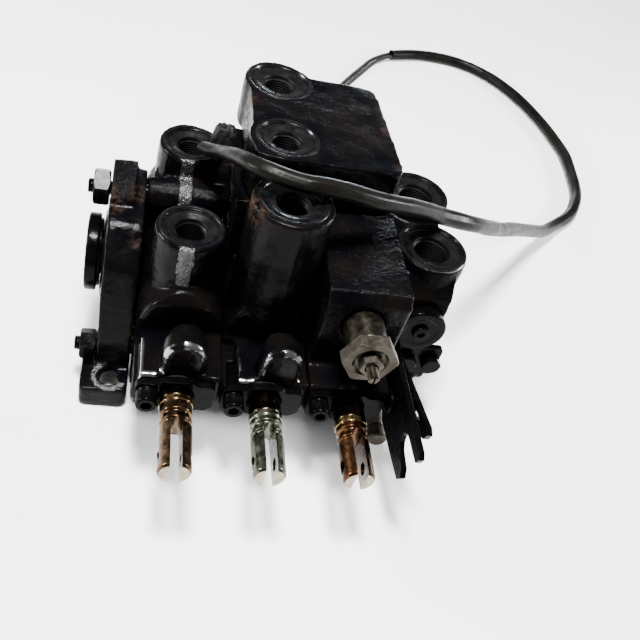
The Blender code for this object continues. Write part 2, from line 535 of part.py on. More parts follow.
def lever_bracket(material):
    """Bent bracket: a tab bolted to the inlet section and an arm that carries the pivot pin."""
    tab = prism(rounded(((ARM_X[0], TAB_Z[0]), (146.0, TAB_Z[0]), (146.0, TAB_Z[1]), (ARM_X[0], TAB_Z[1])), 3.0),
                "Y", 46.5, 49.7)
    arm = [(49.7, -20.0), (49.7, 0.4), (38.0, 1.6), (-18.0, 14.6), (-21.5, 13.0), (-20.0, 8.0),
           (0.0, -6.5), (30.0, -11.0), (40.0, -20.0)]
    window = [(-10.0, 9.5), (-2.0, 2.4), (1.0, 1.6), (1.0, 7.2)]
    cuts = [rod(3.0 + GAP, "Y", (x, TAB_BOLT_Z), 40, 55, 10) for x in TAB_BOLT_X]
    cuts += [rod(4.0 + GAP, "X", PIVOT, 110, 130, 14), prism(window, "X", 110, 130)]
    return solid("lever_bracket", material, prism(arm, "X", *ARM_X), [tab], cuts, (ARM_X[0], *PIVOT))


def lever_fasteners(material):
    for name, x in zip(("inner", "outer"), TAB_BOLT_X):
        shank = rod(3.0, "Y", (x, TAB_BOLT_Z), 43.0, 64.0, 10)
        head = prism(hexagon(10.0, (x, TAB_BOLT_Z), 10.0), "Y", 41.8, 46.2)
        solid(f"bracket_bolt_{name}", material, head, [shank], anchor=(x, 46.2, TAB_BOLT_Z))
    y, z = PIVOT
    pin = turned(((0.0, 105.6), (6.0, 105.6), (6.0, 107.7), (4.0, 107.7), (4.0, 111.3), (6.0, 111.3),
                  (6.0, 116.2), (4.0, 116.2), (4.0, 122.5), (0.0, 122.5)), "X", PIVOT, 14)
    solid("pivot_pin", material, pin, anchor=(LEVER_X[0], y, z))


# ---------------------------------------------------------------- cable
def smooth_route(points, spacing):
    """Points every `spacing` along the smooth curve through the route's own points."""
    pts = [Vector(p) for p in points]
    pts = [pts[0] * 2 - pts[1]] + pts + [pts[-1] * 2 - pts[-2]]
    dense = []
    for a, b, c, d in zip(pts, pts[1:], pts[2:], pts[3:]):
        for k in range(24):
            t = k / 24
            dense.append(0.5 * (2 * b + (c - a) * t + (2 * a - 5 * b + 4 * c - d) * t ** 2
                                + (3 * b - a - 3 * c + d) * t ** 3))
    dense.append(pts[-2])
    lengths = [0.0]
    for a, b in zip(dense, dense[1:]):
        lengths.append(lengths[-1] + (b - a).length)
    count = max(2, round(lengths[-1] / spacing))
    route, k = [], 0
    for i in range(count + 1):
        want = lengths[-1] * i / count
        while k < len(lengths) - 2 and lengths[k + 1] < want:
            k += 1
        t = (want - lengths[k]) / max(lengths[k + 1] - lengths[k], 1e-9)
        route.append(dense[k].lerp(dense[k + 1], t))
    return route


def side_route(points, offset):
    """The route moved sideways, level with the floor; where it climbs, straight along X."""
    moved = []
    for i, p in enumerate(points):
        ahead = Vector(points[min(i + 1, len(points) - 1)]) - Vector(points[max(i - 1, 0)])
        side = Vector((1.0, 0.0, 0.0)) if abs(ahead.z) > 3.0 else Vector((-ahead.y, ahead.x, 0.0))
        moved.append(Vector(p) + side.normalized() * offset)
    return moved


def tube(name, points, radius, material, resolution):
    curve = bpy.data.curves.new(name, "CURVE")
    curve.dimensions = "3D"
    curve.bevel_depth, curve.bevel_resolution = radius * MM, resolution
    curve.use_fill_caps = True
    curve.materials.append(material)
    spline = curve.splines.new("POLY")
    spline.points.add(len(points) - 1)
    for target, p in zip(spline.points, points):
        target.co = (*((p - ORIGIN) * MM), 1.0)
    obj = bpy.data.objects.new(name, curve)
    bpy.context.scene.collection.objects.link(obj)
    return obj


def cable(materials):
    tube("cable_sleeve", smooth_route(SLEEVE_ROUTE, 16.0), SLEEVE_R, materials["sleeve"], 2)
    for name, side in (("wire_a", -1), ("wire_b", 1)):
        route = smooth_route(side_route(WIRE_ROUTE, side * WIRE_SPREAD), 9.5)
        tube(name, route, WIRE_R, materials["rubber"], 2)
    boot = prism(rounded(((8.0, 124.5), (22.0, 122.0), (24.0, 133.0), (10.5, 136.5)), 3.0), "Z",
                 SECTION_1_TOP + GAP, SECTION_1_TOP + 11.0)
    solid("connector_boot", materials["rubber"], boot, anchor=(15.0, 129.0, SECTION_1_TOP))


# ---------------------------------------------------------------- assembly
def build():
    clear_scene()
    materials = make_materials()
    casting, steel = materials["casting"], materials["black_steel"]
    left_end_cover(casting)
    for number in (1, 2, 3):
        section(number, casting)
        spool(number, materials[("spool_bronze", "spool_green", "spool_amber")[number - 1]])
        spool_hardware(number, materials)
    inlet_section(casting)
    raised_port_block(casting)
    tie_rods(steel)
    end_plug(steel)
    relief_valve(materials)
    inlet_fittings(materials)
    fork_lever(steel)
    lever_bracket(steel)
    lever_fasteners(steel)
    cable(materials)


build()
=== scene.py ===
"""Looks of the three-spool hydraulic control valve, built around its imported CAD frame.

Shapes are given in the valve's own millimetres: X along the stack, Y from the spool clevises to the spring
caps, Z up, zero on spool 1's axis 40.4 mm behind its clevis tip. placed() turns them into metres.
"""
import json
import math

import bmesh
import bpy
from mathutils import Matrix, Vector, noise


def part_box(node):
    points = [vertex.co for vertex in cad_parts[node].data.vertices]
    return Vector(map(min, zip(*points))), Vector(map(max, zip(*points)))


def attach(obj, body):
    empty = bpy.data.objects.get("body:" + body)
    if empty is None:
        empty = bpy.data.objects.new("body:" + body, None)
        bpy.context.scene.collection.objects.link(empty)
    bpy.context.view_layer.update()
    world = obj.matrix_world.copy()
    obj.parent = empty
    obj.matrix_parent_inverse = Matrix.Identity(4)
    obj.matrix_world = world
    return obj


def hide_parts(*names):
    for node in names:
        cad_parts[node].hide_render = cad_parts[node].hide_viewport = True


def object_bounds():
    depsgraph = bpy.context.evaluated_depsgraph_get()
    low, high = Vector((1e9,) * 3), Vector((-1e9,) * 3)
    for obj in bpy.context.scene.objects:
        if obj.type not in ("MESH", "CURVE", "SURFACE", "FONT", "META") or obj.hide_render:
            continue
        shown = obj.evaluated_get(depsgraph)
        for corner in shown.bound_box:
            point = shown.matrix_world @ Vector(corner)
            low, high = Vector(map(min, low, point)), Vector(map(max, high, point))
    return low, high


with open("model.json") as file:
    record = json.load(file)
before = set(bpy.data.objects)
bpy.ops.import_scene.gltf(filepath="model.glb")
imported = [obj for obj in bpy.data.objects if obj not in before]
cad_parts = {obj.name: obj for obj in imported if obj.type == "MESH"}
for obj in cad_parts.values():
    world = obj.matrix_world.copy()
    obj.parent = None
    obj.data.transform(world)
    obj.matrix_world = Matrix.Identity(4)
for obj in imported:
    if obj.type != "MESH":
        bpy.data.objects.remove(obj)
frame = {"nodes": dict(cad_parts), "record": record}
cad_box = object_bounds()

# ---------------------------------------------------------------- the valve's own frame
MM = 0.001
ROOT = "valve_stack"
CLEVIS_TIP = -40.4
spool_low, spool_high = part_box("spool_1")
PITCH = (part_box("section_2_body")[0].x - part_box("section_1_body")[0].x) / MM
ZERO = Vector(((spool_low.x + spool_high.x) / 2, spool_low.y - CLEVIS_TIP * MM,
               (spool_low.z + spool_high.z) / 2))
STACK = (0.0, PITCH, 2 * PITCH)
FLOOR = cad_box[0].z


def valve_box(node):
    """A CAD node's lowest and highest corner in valve millimetres."""
    return [(corner - ZERO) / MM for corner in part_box(node)]


def centred(node, axis):
    """A CAD node's lowest and highest corner, and its centre across an axis."""
    low, high = valve_box(node)
    middle = [(a + b) / 2 for a, b in zip(low, high)]
    middle.pop("XYZ".index(axis))
    return low, high, tuple(middle)


TOP_1 = valve_box("section_1_body")[1].z
TOP_2 = valve_box("section_2_body")[1].z
TOP_BLOCK = valve_box("raised_port_block")[1].z
TOP_INLET = valve_box("inlet_section_body")[1].z
INLET_X = 3 * PITCH
RELIEF_AXIS = (STACK[2], 38.0)      # X and Z of the relief valve
SWITCH_AXIS = (84.0, 65.5)          # X and Z of the pressure switch
ARCH_Z = 20.0                       # centre height of the arches over spools 1 and 2
FOOT_HOLE = (-31.0, 40.5)           # X and Y of the front foot's bolt hole

# name, node, centre (X, Y), top, tapping bore radius, radius of the boss's flat top
PORTS = (
    ("port_1_front", "section_1_body", (0.0, 58.0), TOP_1, 7.5, 16.2),
    ("port_1_rear", "section_1_body", (0.0, 125.5), TOP_1, 7.5, 16.2),
    ("port_2_front", "section_2_body", (PITCH, 51.0), TOP_2, 8.0, 18.7),
    ("block_port_front", "raised_port_block", (43.0, 100.5), TOP_BLOCK, 7.8, 19.0),
    ("block_port_rear", "raised_port_block", (43.0, 153.5), TOP_BLOCK, 8.7, 19.0),
    ("inlet_port", "inlet_section_body", (INLET_X, 72.0), TOP_INLET, 9.8, 19.4),
    ("tank_port", "inlet_section_body", (INLET_X, 118.0), TOP_INLET, 9.8, 19.4),
)


# ---------------------------------------------------------------- node materials
class Look:
    """A Principled material whose colour, roughness and bump come from procedural textures."""

    def __init__(self, name, **constants):
        self.material = bpy.data.materials.new(name)
        self.material.use_nodes = True
        self.tree = self.material.node_tree
        self.shader = self.tree.nodes["Principled BSDF"]
        for socket, value in constants.items():
            self.shader.inputs[socket.replace("_", " ")].default_value = value
        self.place = self.node("ShaderNodeTexCoord").outputs["Object"]

    def node(self, kind, **values):
        made = self.tree.nodes.new(kind)
        for key, value in values.items():
            setattr(made, key, value)
        return made

    def link(self, source, target):
        self.tree.links.new(source, target)

    def noise(self, scale, detail=3.0, rough=0.55, stretch=None):
        made = self.node("ShaderNodeTexNoise")
        made.inputs["Scale"].default_value = scale
        made.inputs["Detail"].default_value = detail
        made.inputs["Roughness"].default_value = rough
        source = self.place
        if stretch:
            mapping = self.node("ShaderNodeMapping")
            mapping.inputs["Scale"].default_value = stretch
            self.link(self.place, mapping.inputs["Vector"])
            source = mapping.outputs["Vector"]
        self.link(source, made.inputs["Vector"])
        return made.outputs["Fac"]

    def attribute(self, name):
        return self.node("ShaderNodeAttribute", attribute_name=name).outputs["Fac"]

    def math(self, operation, a, b, clamp=False):
        made = self.node("ShaderNodeMath", operation=operation, use_clamp=clamp)
        for socket, value in zip(made.inputs, (a, b)):
            if isinstance(value, (int, float)):
                socket.default_value = value
            else:
                self.link(value, socket)
        return made.outputs[0]

    def spread(self, source, low, high, to_low=0.0, to_high=1.0):
        """Map low..high of a texture to another range, clamped."""
        made = self.node("ShaderNodeMapRange")
        for socket, value in zip(("From Min", "From Max", "To Min", "To Max"), (low, high, to_low, to_high)):
            made.inputs[socket].default_value = value
        self.link(source, made.inputs["Value"])
        return made.outputs["Result"]

    def mix(self, factor, a, b):
        """Blend two colours, or two colour sockets, by a socket."""
        made = self.node("ShaderNodeMix", data_type="RGBA")
        self.link(factor, made.inputs["Factor"])
        for socket, value in zip(("A", "B"), (a, b)):
            target = [s for s in made.inputs if s.name == socket and s.type == "RGBA"][0]
            if isinstance(value, tuple):
                target.default_value = (*value, 1.0)
            else:
                self.link(value, target)
        return [s for s in made.outputs if s.type == "RGBA"][0]

    def bump(self, height, distance, strength=1.0, under=None):
        made = self.node("ShaderNodeBump")
        made.inputs["Distance"].default_value = distance
        if isinstance(strength, (int, float)):
            made.inputs["Strength"].default_value = strength
        else:
            self.link(strength, made.inputs["Strength"])
        self.link(height, made.inputs["Height"])
        if under is not None:
            self.link(under, made.inputs["Normal"])
        return made.outputs["Normal"]

    def use(self, **sockets):
        for socket, source in sockets.items():
            self.link(source, self.shader.inputs[socket.replace("_", " ")])
        return self.material


def painted_casting():
    """Thick black gloss paint over rough cast iron, rusty where the piece's rust attribute says so."""
    look = Look("painted_casting", Coat_IOR=2.4, Coat_Roughness=0.06)
    tone = look.mix(look.spread(look.noise(45.0), 0.35, 0.7), (0.0006, 0.0007, 0.0012),
                    (0.0026, 0.0019, 0.0015))
    dust = look.spread(look.noise(420.0, 4.0, 0.7), 0.60, 0.78)
    tone = look.mix(look.math("MULTIPLY", dust, 0.25), tone, (0.0085, 0.0068, 0.0052))
    patchy = look.spread(look.noise(330.0, 5.0, 0.75), 0.44, 0.60)
    rust = look.math("MULTIPLY", look.attribute("rust"), patchy, clamp=True)
    rust_tone = look.mix(look.spread(look.noise(700.0), 0.4, 0.65), (0.009, 0.0042, 0.0025),
                         (0.034, 0.0165, 0.0095))
    colour = look.mix(rust, tone, rust_tone)
    gloss = look.spread(look.noise(120.0, 4.0), 0.3, 0.75, 0.13, 0.34)
    rough = look.math("ADD", gloss, look.math("MULTIPLY", rust, 0.45), clamp=True)
    grain = look.noise(820.0, 3.0, 0.62)
    under = look.bump(look.noise(160.0, 2.0), 0.0006, 0.22)
    grainy = look.math("ADD", look.math("MULTIPLY", look.attribute("grain"), 0.95), 0.03, clamp=True)
    normal = look.bump(grain, 0.0011, grainy, under)
    look.link(normal, look.shader.inputs["Coat Normal"])
    shine = look.spread(look.attribute("grain"), 0.85, 1.0, 0.03, 0.75)
    shine = look.math("ADD", shine, look.attribute("gloss"), clamp=True)
    wet = look.math("ADD", look.attribute("gloss"), 0.004, clamp=True)
    return look.use(Base_Color=colour, Roughness=rough, Normal=normal, Specular_IOR_Level=shine,
                    Coat_Weight=wet)


def machined_paint():
    """Turned port faces with thin worn paint."""
    look = Look("machined_paint", Specular_IOR_Level=0.16, Coat_Weight=0.12, Coat_Roughness=0.06)
    colour = look.mix(look.spread(look.noise(260.0, 4.0), 0.42, 0.68), (0.0008, 0.0009, 0.0014),
                      (0.0036, 0.0030, 0.0026))
    rough = look.spread(look.noise(180.0, 3.0), 0.3, 0.7, 0.16, 0.36)
    normal = look.bump(look.noise(300.0, 2.0), 0.0003, 0.25)
    return look.use(Base_Color=colour, Roughness=rough, Normal=normal)


def painted_steel():
    """Gloss black paint over plates, nuts and screws."""
    look = Look("painted_steel", Specular_IOR_Level=0.02, Coat_Weight=0.006, Coat_IOR=2.4,
                Coat_Roughness=0.05)
    colour = look.mix(look.spread(look.noise(150.0, 4.0), 0.35, 0.7), (0.0004, 0.0005, 0.0008),
                      (0.0015, 0.0012, 0.0009))
    chips = look.spread(look.noise(520.0, 5.0, 0.7), 0.66, 0.72)
    colour = look.mix(look.math("MULTIPLY", chips, 0.4), colour, (0.016, 0.008, 0.0045))
    rough = look.spread(look.noise(210.0, 4.0), 0.3, 0.75, 0.12, 0.36)
    normal = look.bump(look.noise(420.0, 3.0), 0.00045, 0.35)
    return look.use(Base_Color=colour, Roughness=rough, Normal=normal)


def spool_metal(name, light, dark, stain):
    """Tinted ground steel with darker stains and fine turning marks."""
    look = Look(name, Metallic=1.0, Specular_IOR_Level=0.5)
    colour = look.mix(look.spread(look.noise(110.0, 4.0, 0.6), 0.38, 0.66), light, dark)
    spots = look.spread(look.noise(330.0, 5.0, 0.7), 0.56, 0.70)
    colour = look.mix(look.math("MULTIPLY", spots, 0.75), colour, stain)
    rough = look.spread(look.noise(240.0, 4.0), 0.3, 0.7, 0.14, 0.36)
    marks = look.noise(60.0, 2.0, 0.5, stretch=(1.0, 60.0, 1.0))
    normal = look.bump(marks, 0.00012, 0.25, look.bump(look.noise(160.0, 3.0), 0.0006, 0.20))
    return look.use(Base_Color=colour, Roughness=rough, Normal=normal)


def zinc_plate():
    """Dull zinc plating, stained and turned."""
    look = Look("zinc_plate", Metallic=1.0, Specular_IOR_Level=0.5)
    colour = look.mix(look.spread(look.noise(170.0, 5.0, 0.65), 0.35, 0.7), (0.060, 0.053, 0.043),
                      (0.030, 0.026, 0.020))
    spots = look.spread(look.noise(620.0, 4.0, 0.7), 0.60, 0.72)
    colour = look.mix(look.math("MULTIPLY", spots, 0.55), colour, (0.018, 0.014, 0.010))
    rough = look.spread(look.noise(300.0, 4.0), 0.3, 0.7, 0.34, 0.55)
    marks = look.noise(55.0, 2.0, 0.5, stretch=(1.0, 55.0, 1.0))
    normal = look.bump(marks, 0.00012, 0.3, look.bump(look.noise(700.0, 3.0), 0.0003, 0.25))
    return look.use(Base_Color=colour, Roughness=rough, Normal=normal)


def plain_metal(name, light, dark, roughness):
    """Bare or tinted metal that varies between two colours."""
    look = Look(name, Metallic=1.0)
    colour = look.mix(look.spread(look.noise(260.0, 4.0), 0.35, 0.7), light, dark)
    rough = look.spread(look.noise(330.0), 0.3, 0.7, roughness - 0.08, roughness + 0.1)
    normal = look.bump(look.noise(500.0, 3.0), 0.0003, 0.3)
    return look.use(Base_Color=colour, Roughness=rough, Normal=normal)


def sleeve_plastic():
    """Dark olive-grey sleeving, handled and dusty."""
    look = Look("sleeve_plastic", Specular_IOR_Level=0.045)
    colour = look.mix(look.spread(look.noise(38.0, 4.0), 0.35, 0.68), (0.0017, 0.0016, 0.0014),
                      (0.0043, 0.0039, 0.0031))
    dust = look.spread(look.noise(260.0, 5.0, 0.7), 0.55, 0.75)
    colour = look.mix(look.math("MULTIPLY", dust, 0.35), colour, (0.011, 0.010, 0.008))
    rough = look.spread(look.noise(140.0, 4.0), 0.3, 0.7, 0.26, 0.44)
    normal = look.bump(look.noise(520.0, 3.0), 0.0004, 0.35, look.bump(look.noise(75.0), 0.0012, 0.3))
    return look.use(Base_Color=colour, Roughness=rough, Normal=normal)


def soft_rubber(name, low, high):
    """Dull rubber, cable cover, or the dark colour that stands for the shade inside port bores, varying
    between two colours.
    """
    look = Look(name, Specular_IOR_Level=0.12)
    colour = look.mix(look.spread(look.noise(190.0, 4.0), 0.35, 0.7), low, high)
    rough = look.spread(look.noise(300.0), 0.3, 0.7, 0.42, 0.68)
    normal = look.bump(look.noise(600.0, 3.0), 0.0003, 0.4)
    return look.use(Base_Color=colour, Roughness=rough, Normal=normal)


def floor_sheet():
    """Plain pale floor."""
    look = Look("pale_floor", Specular_IOR_Level=0.15)
    colour = look.mix(look.spread(look.noise(5.0, 3.0), 0.3, 0.7), (0.80, 0.79, 0.775),
                      (0.86, 0.855, 0.845))
    normal = look.bump(look.noise(900.0, 2.0), 0.0003, 0.3)
    rough = look.spread(look.noise(30.0), 0.3, 0.7, 0.75, 0.9)
    return look.use(Base_Color=colour, Roughness=rough, Normal=normal)


LOOKS = {
    "casting": painted_casting(),
    "machined": machined_paint(),
    "black_steel": painted_steel(),
    "spool_bronze": spool_metal("spool_bronze_tint", (0.088, 0.053, 0.029), (0.026, 0.014, 0.007),
                                (0.005, 0.003, 0.0015)),
    "spool_green": spool_metal("spool_green_tint", (0.100, 0.108, 0.080), (0.026, 0.030, 0.019),
                               (0.004, 0.004, 0.003)),
    "spool_amber": spool_metal("spool_amber_tint", (0.076, 0.036, 0.016), (0.026, 0.010, 0.004),
                               (0.004, 0.002, 0.001)),
    "zinc": zinc_plate(),
    "spring_steel": plain_metal("spring_wire", (0.20, 0.20, 0.21), (0.10, 0.095, 0.09), 0.34),
    "brass": plain_metal("brass_fitting", (0.22, 0.150, 0.055), (0.12, 0.076, 0.026), 0.34),
    "clean_end": plain_metal("clean_end", (0.30, 0.27, 0.20), (0.15, 0.13, 0.09), 0.40),
    "gold_collar": plain_metal("gold_collar", (0.22, 0.145, 0.065), (0.09, 0.055, 0.025), 0.20),
    "silver_collar": plain_metal("silver_collar", (0.22, 0.22, 0.17), (0.09, 0.09, 0.065), 0.20),
    "dark_oil": plain_metal("dark_oil", (0.016, 0.010, 0.006), (0.004, 0.003, 0.002), 0.22),
    # dish: a darker colour inside the relief valve's front dish, painted shade in the recess
    "dish": plain_metal("painted_shade_dish", (0.030, 0.028, 0.018), (0.010, 0.009, 0.006), 0.30),
    "barrel": plain_metal("aged_barrel", (0.046, 0.040, 0.031), (0.018, 0.014, 0.010), 0.34),
    "sleeve": sleeve_plastic(),
    "rubber": soft_rubber("black_rubber", (0.0022, 0.0022, 0.0024), (0.0064, 0.0060, 0.0055)),
    # bore: a darker colour inside the port threads and bores, painted shade inside the holes
    "bore": soft_rubber("painted_shade_thread", (0.0004, 0.0004, 0.0005), (0.0018, 0.0015, 0.0012)),
    "wire": soft_rubber("wire_cover", (0.0055, 0.0052, 0.0044), (0.0140, 0.0130, 0.0105)),
}


# ---------------------------------------------------------------- shapes in valve millimetres
AXES = {"X": (1, 2, 0), "Y": (2, 0, 1), "Z": (0, 1, 2)}     # u, v and the axis itself


def point(axis, u, v, along):
    """A valve point from two coordinates across an axis and one along it."""
    xyz = [0.0, 0.0, 0.0]
    for index, value in zip(AXES[axis], (u, v, along)):
        xyz[index] = value
    return Vector(xyz)


def across(axis, centre):
    """Centres are written in X, Y, Z order, so a Y axis swaps its pair."""
    return (centre[1], centre[0]) if axis == "Y" else centre


def prism(outline, axis, low, high):
    """Extrude a closed outline across the axis: (Y, Z), (X, Z) or (X, Y) points."""
    bm = bmesh.new()
    rings = [[bm.verts.new(point(axis, *across(axis, p), end)) for p in outline] for end in (low, high)]
    for ring in rings:
        bm.faces.new(ring)
    for i in range(len(outline)):
        j = (i + 1) % len(outline)
        bm.faces.new((rings[0][i], rings[0][j], rings[1][j], rings[1][i]))
    bmesh.ops.recalc_face_normals(bm, faces=bm.faces)
    return bm


def turned(profile, axis, centre=(0.0, 0.0), steps=64):
    """Revolve a closed profile of (radius, distance along the axis) points about an axis."""
    bm = bmesh.new()
    centre = across(axis, centre)
    rings = []
    for radius, along in profile:
        if radius < 1e-6:
            rings.append([bm.verts.new(point(axis, *centre, along))])
            continue
        turn = [2 * math.pi * i / steps for i in range(steps)]
        rings.append([bm.verts.new(point(axis, centre[0] + radius * math.cos(a),
                                         centre[1] + radius * math.sin(a), along)) for a in turn])
    for ring, following in zip(rings, rings[1:] + rings[:1]):
        if len(ring) == len(following) == 1:
            continue
        for i in range(steps):
            j = (i + 1) % steps
            corners = [ring[i % len(ring)], ring[j % len(ring)],
                       following[j % len(following)], following[i % len(following)]]
            bm.faces.new(list(dict.fromkeys(corners)))
    bmesh.ops.recalc_face_normals(bm, faces=bm.faces)
    return bm


def rod(radius, axis, centre, low, high, steps=48):
    return turned(((0.0, low), (radius, low), (radius, high), (0.0, high)), axis, centre, steps)


def eased(profile, radius, steps=3):
    """Round a profile's corners, apart from those on the axis."""
    made = []
    for i, corner in enumerate(profile):
        here = Vector(corner)
        before = Vector(profile[i - 1]) - here
        after = Vector(profile[(i + 1) % len(profile)]) - here
        if corner[0] < 1e-6 or before.length < 1e-6 or after.length < 1e-6:
            made.append(tuple(corner))
            continue
        reach = min(radius, before.length * 0.4, after.length * 0.4)
        start, end = here + before.normalized() * reach, here + after.normalized() * reach
        for k in range(steps + 1):
            t = k / steps
            made.append(tuple(start * (1 - t) ** 2 + here * 2 * t * (1 - t) + end * t ** 2))
    return made


def thread(radius, low, high, pitch, depth):
    """Zigzag profile points of a screw thread between two places on its axis."""
    count = max(1, int((high - low) / pitch))
    step = (high - low) / count
    made = []
    for i in range(count):
        made += [(radius, low + i * step), (radius - depth, low + (i + 0.5) * step)]
    return made + [(radius, high)]


def hexagon(flats, centre=(0.0, 0.0), turn=0.0):
    """Corners of a hexagon from its width across flats and a turn in degrees."""
    radius = flats / math.sqrt(3)
    return [(centre[0] + radius * math.cos(math.radians(turn + 60 * i)),
             centre[1] + radius * math.sin(math.radians(turn + 60 * i))) for i in range(6)]


def placed(name, bm, look):
    """Turn a valve-millimetre mesh into an object in metres."""
    bmesh.ops.transform(bm, matrix=Matrix.Translation(ZERO) @ Matrix.Scale(MM, 4), verts=bm.verts)
    mesh = bpy.data.meshes.new(name)
    bm.to_mesh(mesh)
    bm.free()
    obj = bpy.data.objects.new(name, mesh)
    mesh.materials.append(LOOKS[look])
    bpy.context.scene.collection.objects.link(obj)
    return obj


def bake_modifiers(obj):
    """Replace an object's mesh with what its modifiers make of it."""
    bpy.context.view_layer.update()
    made = bpy.data.meshes.new_from_object(obj.evaluated_get(bpy.context.evaluated_depsgraph_get()))
    obj.modifiers.clear()
    obj.data = made


def boolean(obj, bm, operation="DIFFERENCE"):
    tool = placed("tool", bm, "casting")
    modifier = obj.modifiers.new(operation, "BOOLEAN")
    modifier.operation, modifier.solver, modifier.object = operation, "EXACT", tool
    bake_modifiers(obj)
    bpy.data.objects.remove(tool, do_unlink=True)


def smooth(obj, degrees=32):
    obj.data.shade_smooth()
    obj.data.set_sharp_from_angle(angle=math.radians(degrees))


def soften(obj, width, segments=2, degrees=28):
    """Round a piece's sharp edges a little, as real ones are."""
    bm = bmesh.new()
    bm.from_mesh(obj.data)
    bmesh.ops.remove_doubles(bm, verts=bm.verts, dist=0.00002)
    bmesh.ops.dissolve_limit(bm, angle_limit=math.radians(1.0), verts=bm.verts, edges=bm.edges)
    bm.to_mesh(obj.data)
    bm.free()
    modifier = obj.modifiers.new("edges", "BEVEL")
    modifier.width, modifier.segments = width * MM, segments
    modifier.limit_method, modifier.angle_limit = "ANGLE", math.radians(degrees)
    bake_modifiers(obj)
    smooth(obj, 40)
    modifier = obj.modifiers.new("weighted", "WEIGHTED_NORMAL")
    modifier.keep_sharp = True
    bake_modifiers(obj)


def stands_for(obj, body, slot, *nodes):
    """Fix a piece to its body, in place of the CAD nodes named. The slot argument is not used."""
    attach(obj, body)
    if nodes:
        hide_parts(*nodes)


def lathe(name, look, profile, axis, centre, ease, steps=64, cuts=()):
    """A turned piece with eased corners, cut where asked, with smooth shading."""
    obj = placed(name, turned(eased(profile, ease), axis, centre, steps), look)
    for bm in cuts:
        boolean(obj, bm)
    smooth(obj)
    return obj


def copied(node, name, look):
    """A free copy of a CAD node's mesh."""
    obj = bpy.data.objects.new(name, frame["nodes"][node].data.copy())
    obj.data.materials.clear()
    obj.data.materials.append(LOOKS[look])
    bpy.context.scene.collection.objects.link(obj)
    return obj


# ---------------------------------------------------------------- camera, light and floor
def camera():
    data = bpy.data.cameras.new("camera")
    data.lens, data.sensor_width = 44.11, 36.0
    data.clip_start, data.clip_end = 0.01, 20.0
    obj = bpy.data.objects.new("camera", data)
    obj.location = (-0.07892, -0.30464, 0.34487)
    obj.rotation_euler = [math.radians(a) for a in (44.359, -14.207, -6.294)]
    bpy.context.scene.collection.objects.link(obj)
    bpy.context.scene.camera = obj


def softbox(name, place, aim, size, power, tint=(1.0, 1.0, 1.0)):
    """A rectangular light at a place in metres, aimed at another."""
    data = bpy.data.lights.new(name, "AREA")
    data.shape, data.size, data.size_y = "RECTANGLE", size[0], size[1]
    data.energy, data.color = power, tint
    obj = bpy.data.objects.new(name, data)
    obj.location = place
    obj.rotation_euler = (Vector(aim) - Vector(place)).to_track_quat("-Z", "Y").to_euler()
    bpy.context.scene.collection.objects.link(obj)


def studio():
    world = bpy.data.worlds.new("studio")
    bpy.context.scene.world = world
    world.use_nodes = True
    background = world.node_tree.nodes["Background"]
    background.inputs["Color"].default_value = (0.93, 0.96, 1.0, 1.0)
    background.inputs["Strength"].default_value = 0.35
    softbox("overhead", (-0.12, -0.08, 1.15), (0.0, 0.05, 0.0), (0.24, 0.19), 66.0)
    softbox("left_window", (-1.05, 0.12, 0.42), (0.0, 0.0, 0.03), (0.26, 0.24), 30.0, (0.96, 0.98, 1.0))
    softbox("right_window", (1.05, 0.10, 0.36), (0.0, 0.0, 0.03), (0.24, 0.22), 24.0)
    softbox("back_window", (0.42, 1.15, 0.14), (0.0, 0.0, 0.06), (0.40, 0.16), 7.0, (0.80, 0.90, 1.0))
    bm = bmesh.new()
    bmesh.ops.create_grid(bm, x_segments=1, y_segments=1, size=4.0)
    mesh = bpy.data.meshes.new("floor")
    bm.to_mesh(mesh)
    bm.free()
    floor = bpy.data.objects.new("floor", mesh)
    floor.location = (0.0, 0.0, FLOOR - 0.0002)
    mesh.materials.append(floor_sheet())
    bpy.context.scene.collection.objects.link(floor)


# ---------------------------------------------------------------- sleeve and wires
SLEEVE_ROUTE = (                # from the port face, over the valve, down to the floor and around it
    (5.0, 114.2, 62.4), (8.6, 107.6, 66.2), (12.5, 100.3, 71.0), (18.7, 80.5, 83.0), (25.8, 63.2, 91.2),
    (43.5, 56.5, 91.0), (55.5, 55.8, 90.9), (68.0, 57.6, 88.6), (84.0, 62.5, 82.5), (99.0, 70.2, 75.8),
    (116.5, 81.0, 66.5), (132.4, 91.0, 57.4), (154.0, 100.0, 48.0), (175.0, 116.0, 35.0),
    (197.2, 136.6, 19.0), (226.0, 164.0, 0.0), (254.5, 191.0, -20.0), (282.0, 215.0, -36.5),
    (303.0, 234.8, -43.8), (318.0, 247.5, -44.7), (329.0, 261.0, -44.7), (340.5, 284.0, -44.7),
    (346.8, 312.9, -44.7), (350.5, 345.0, -44.7), (346.8, 376.5, -44.7), (341.0, 405.0, -44.7),
    (331.0, 432.6, -44.7), (317.5, 457.0, -44.7), (300.0, 474.5, -44.7), (281.0, 484.5, -44.7),
    (259.0, 488.0, -44.7), (232.0, 484.5, -44.7), (206.0, 475.1, -44.7))
WIRE_ROUTE = (                  # middle line of the two cores, from the sleeve back to the switch
    (205.3, 474.8, -45.2), (196.0, 470.0, -46.6), (184.0, 459.5, -48.0), (170.0, 439.0, -48.3),
    (152.0, 411.0, -48.3), (134.0, 379.0, -48.3), (116.0, 340.0, -48.3), (103.0, 302.0, -48.3),
    (95.0, 268.0, -48.3), (90.0, 240.0, -47.5), (87.5, 224.0, -41.0), (86.0, 214.0, -27.0),
    (85.0, 209.0, -5.0), (84.5, 207.0, 18.0), (84.2, 206.5, 34.0), (84.0, 205.0, 47.0),
    (84.0, 200.5, 57.5), (84.0, 193.5, 64.0), (84.0, 188.0, 65.4), (84.0, 183.6, 65.5))
WIRE_SPREAD = 2.2
SLEEVE_R, WIRE_R = 5.0, 1.6


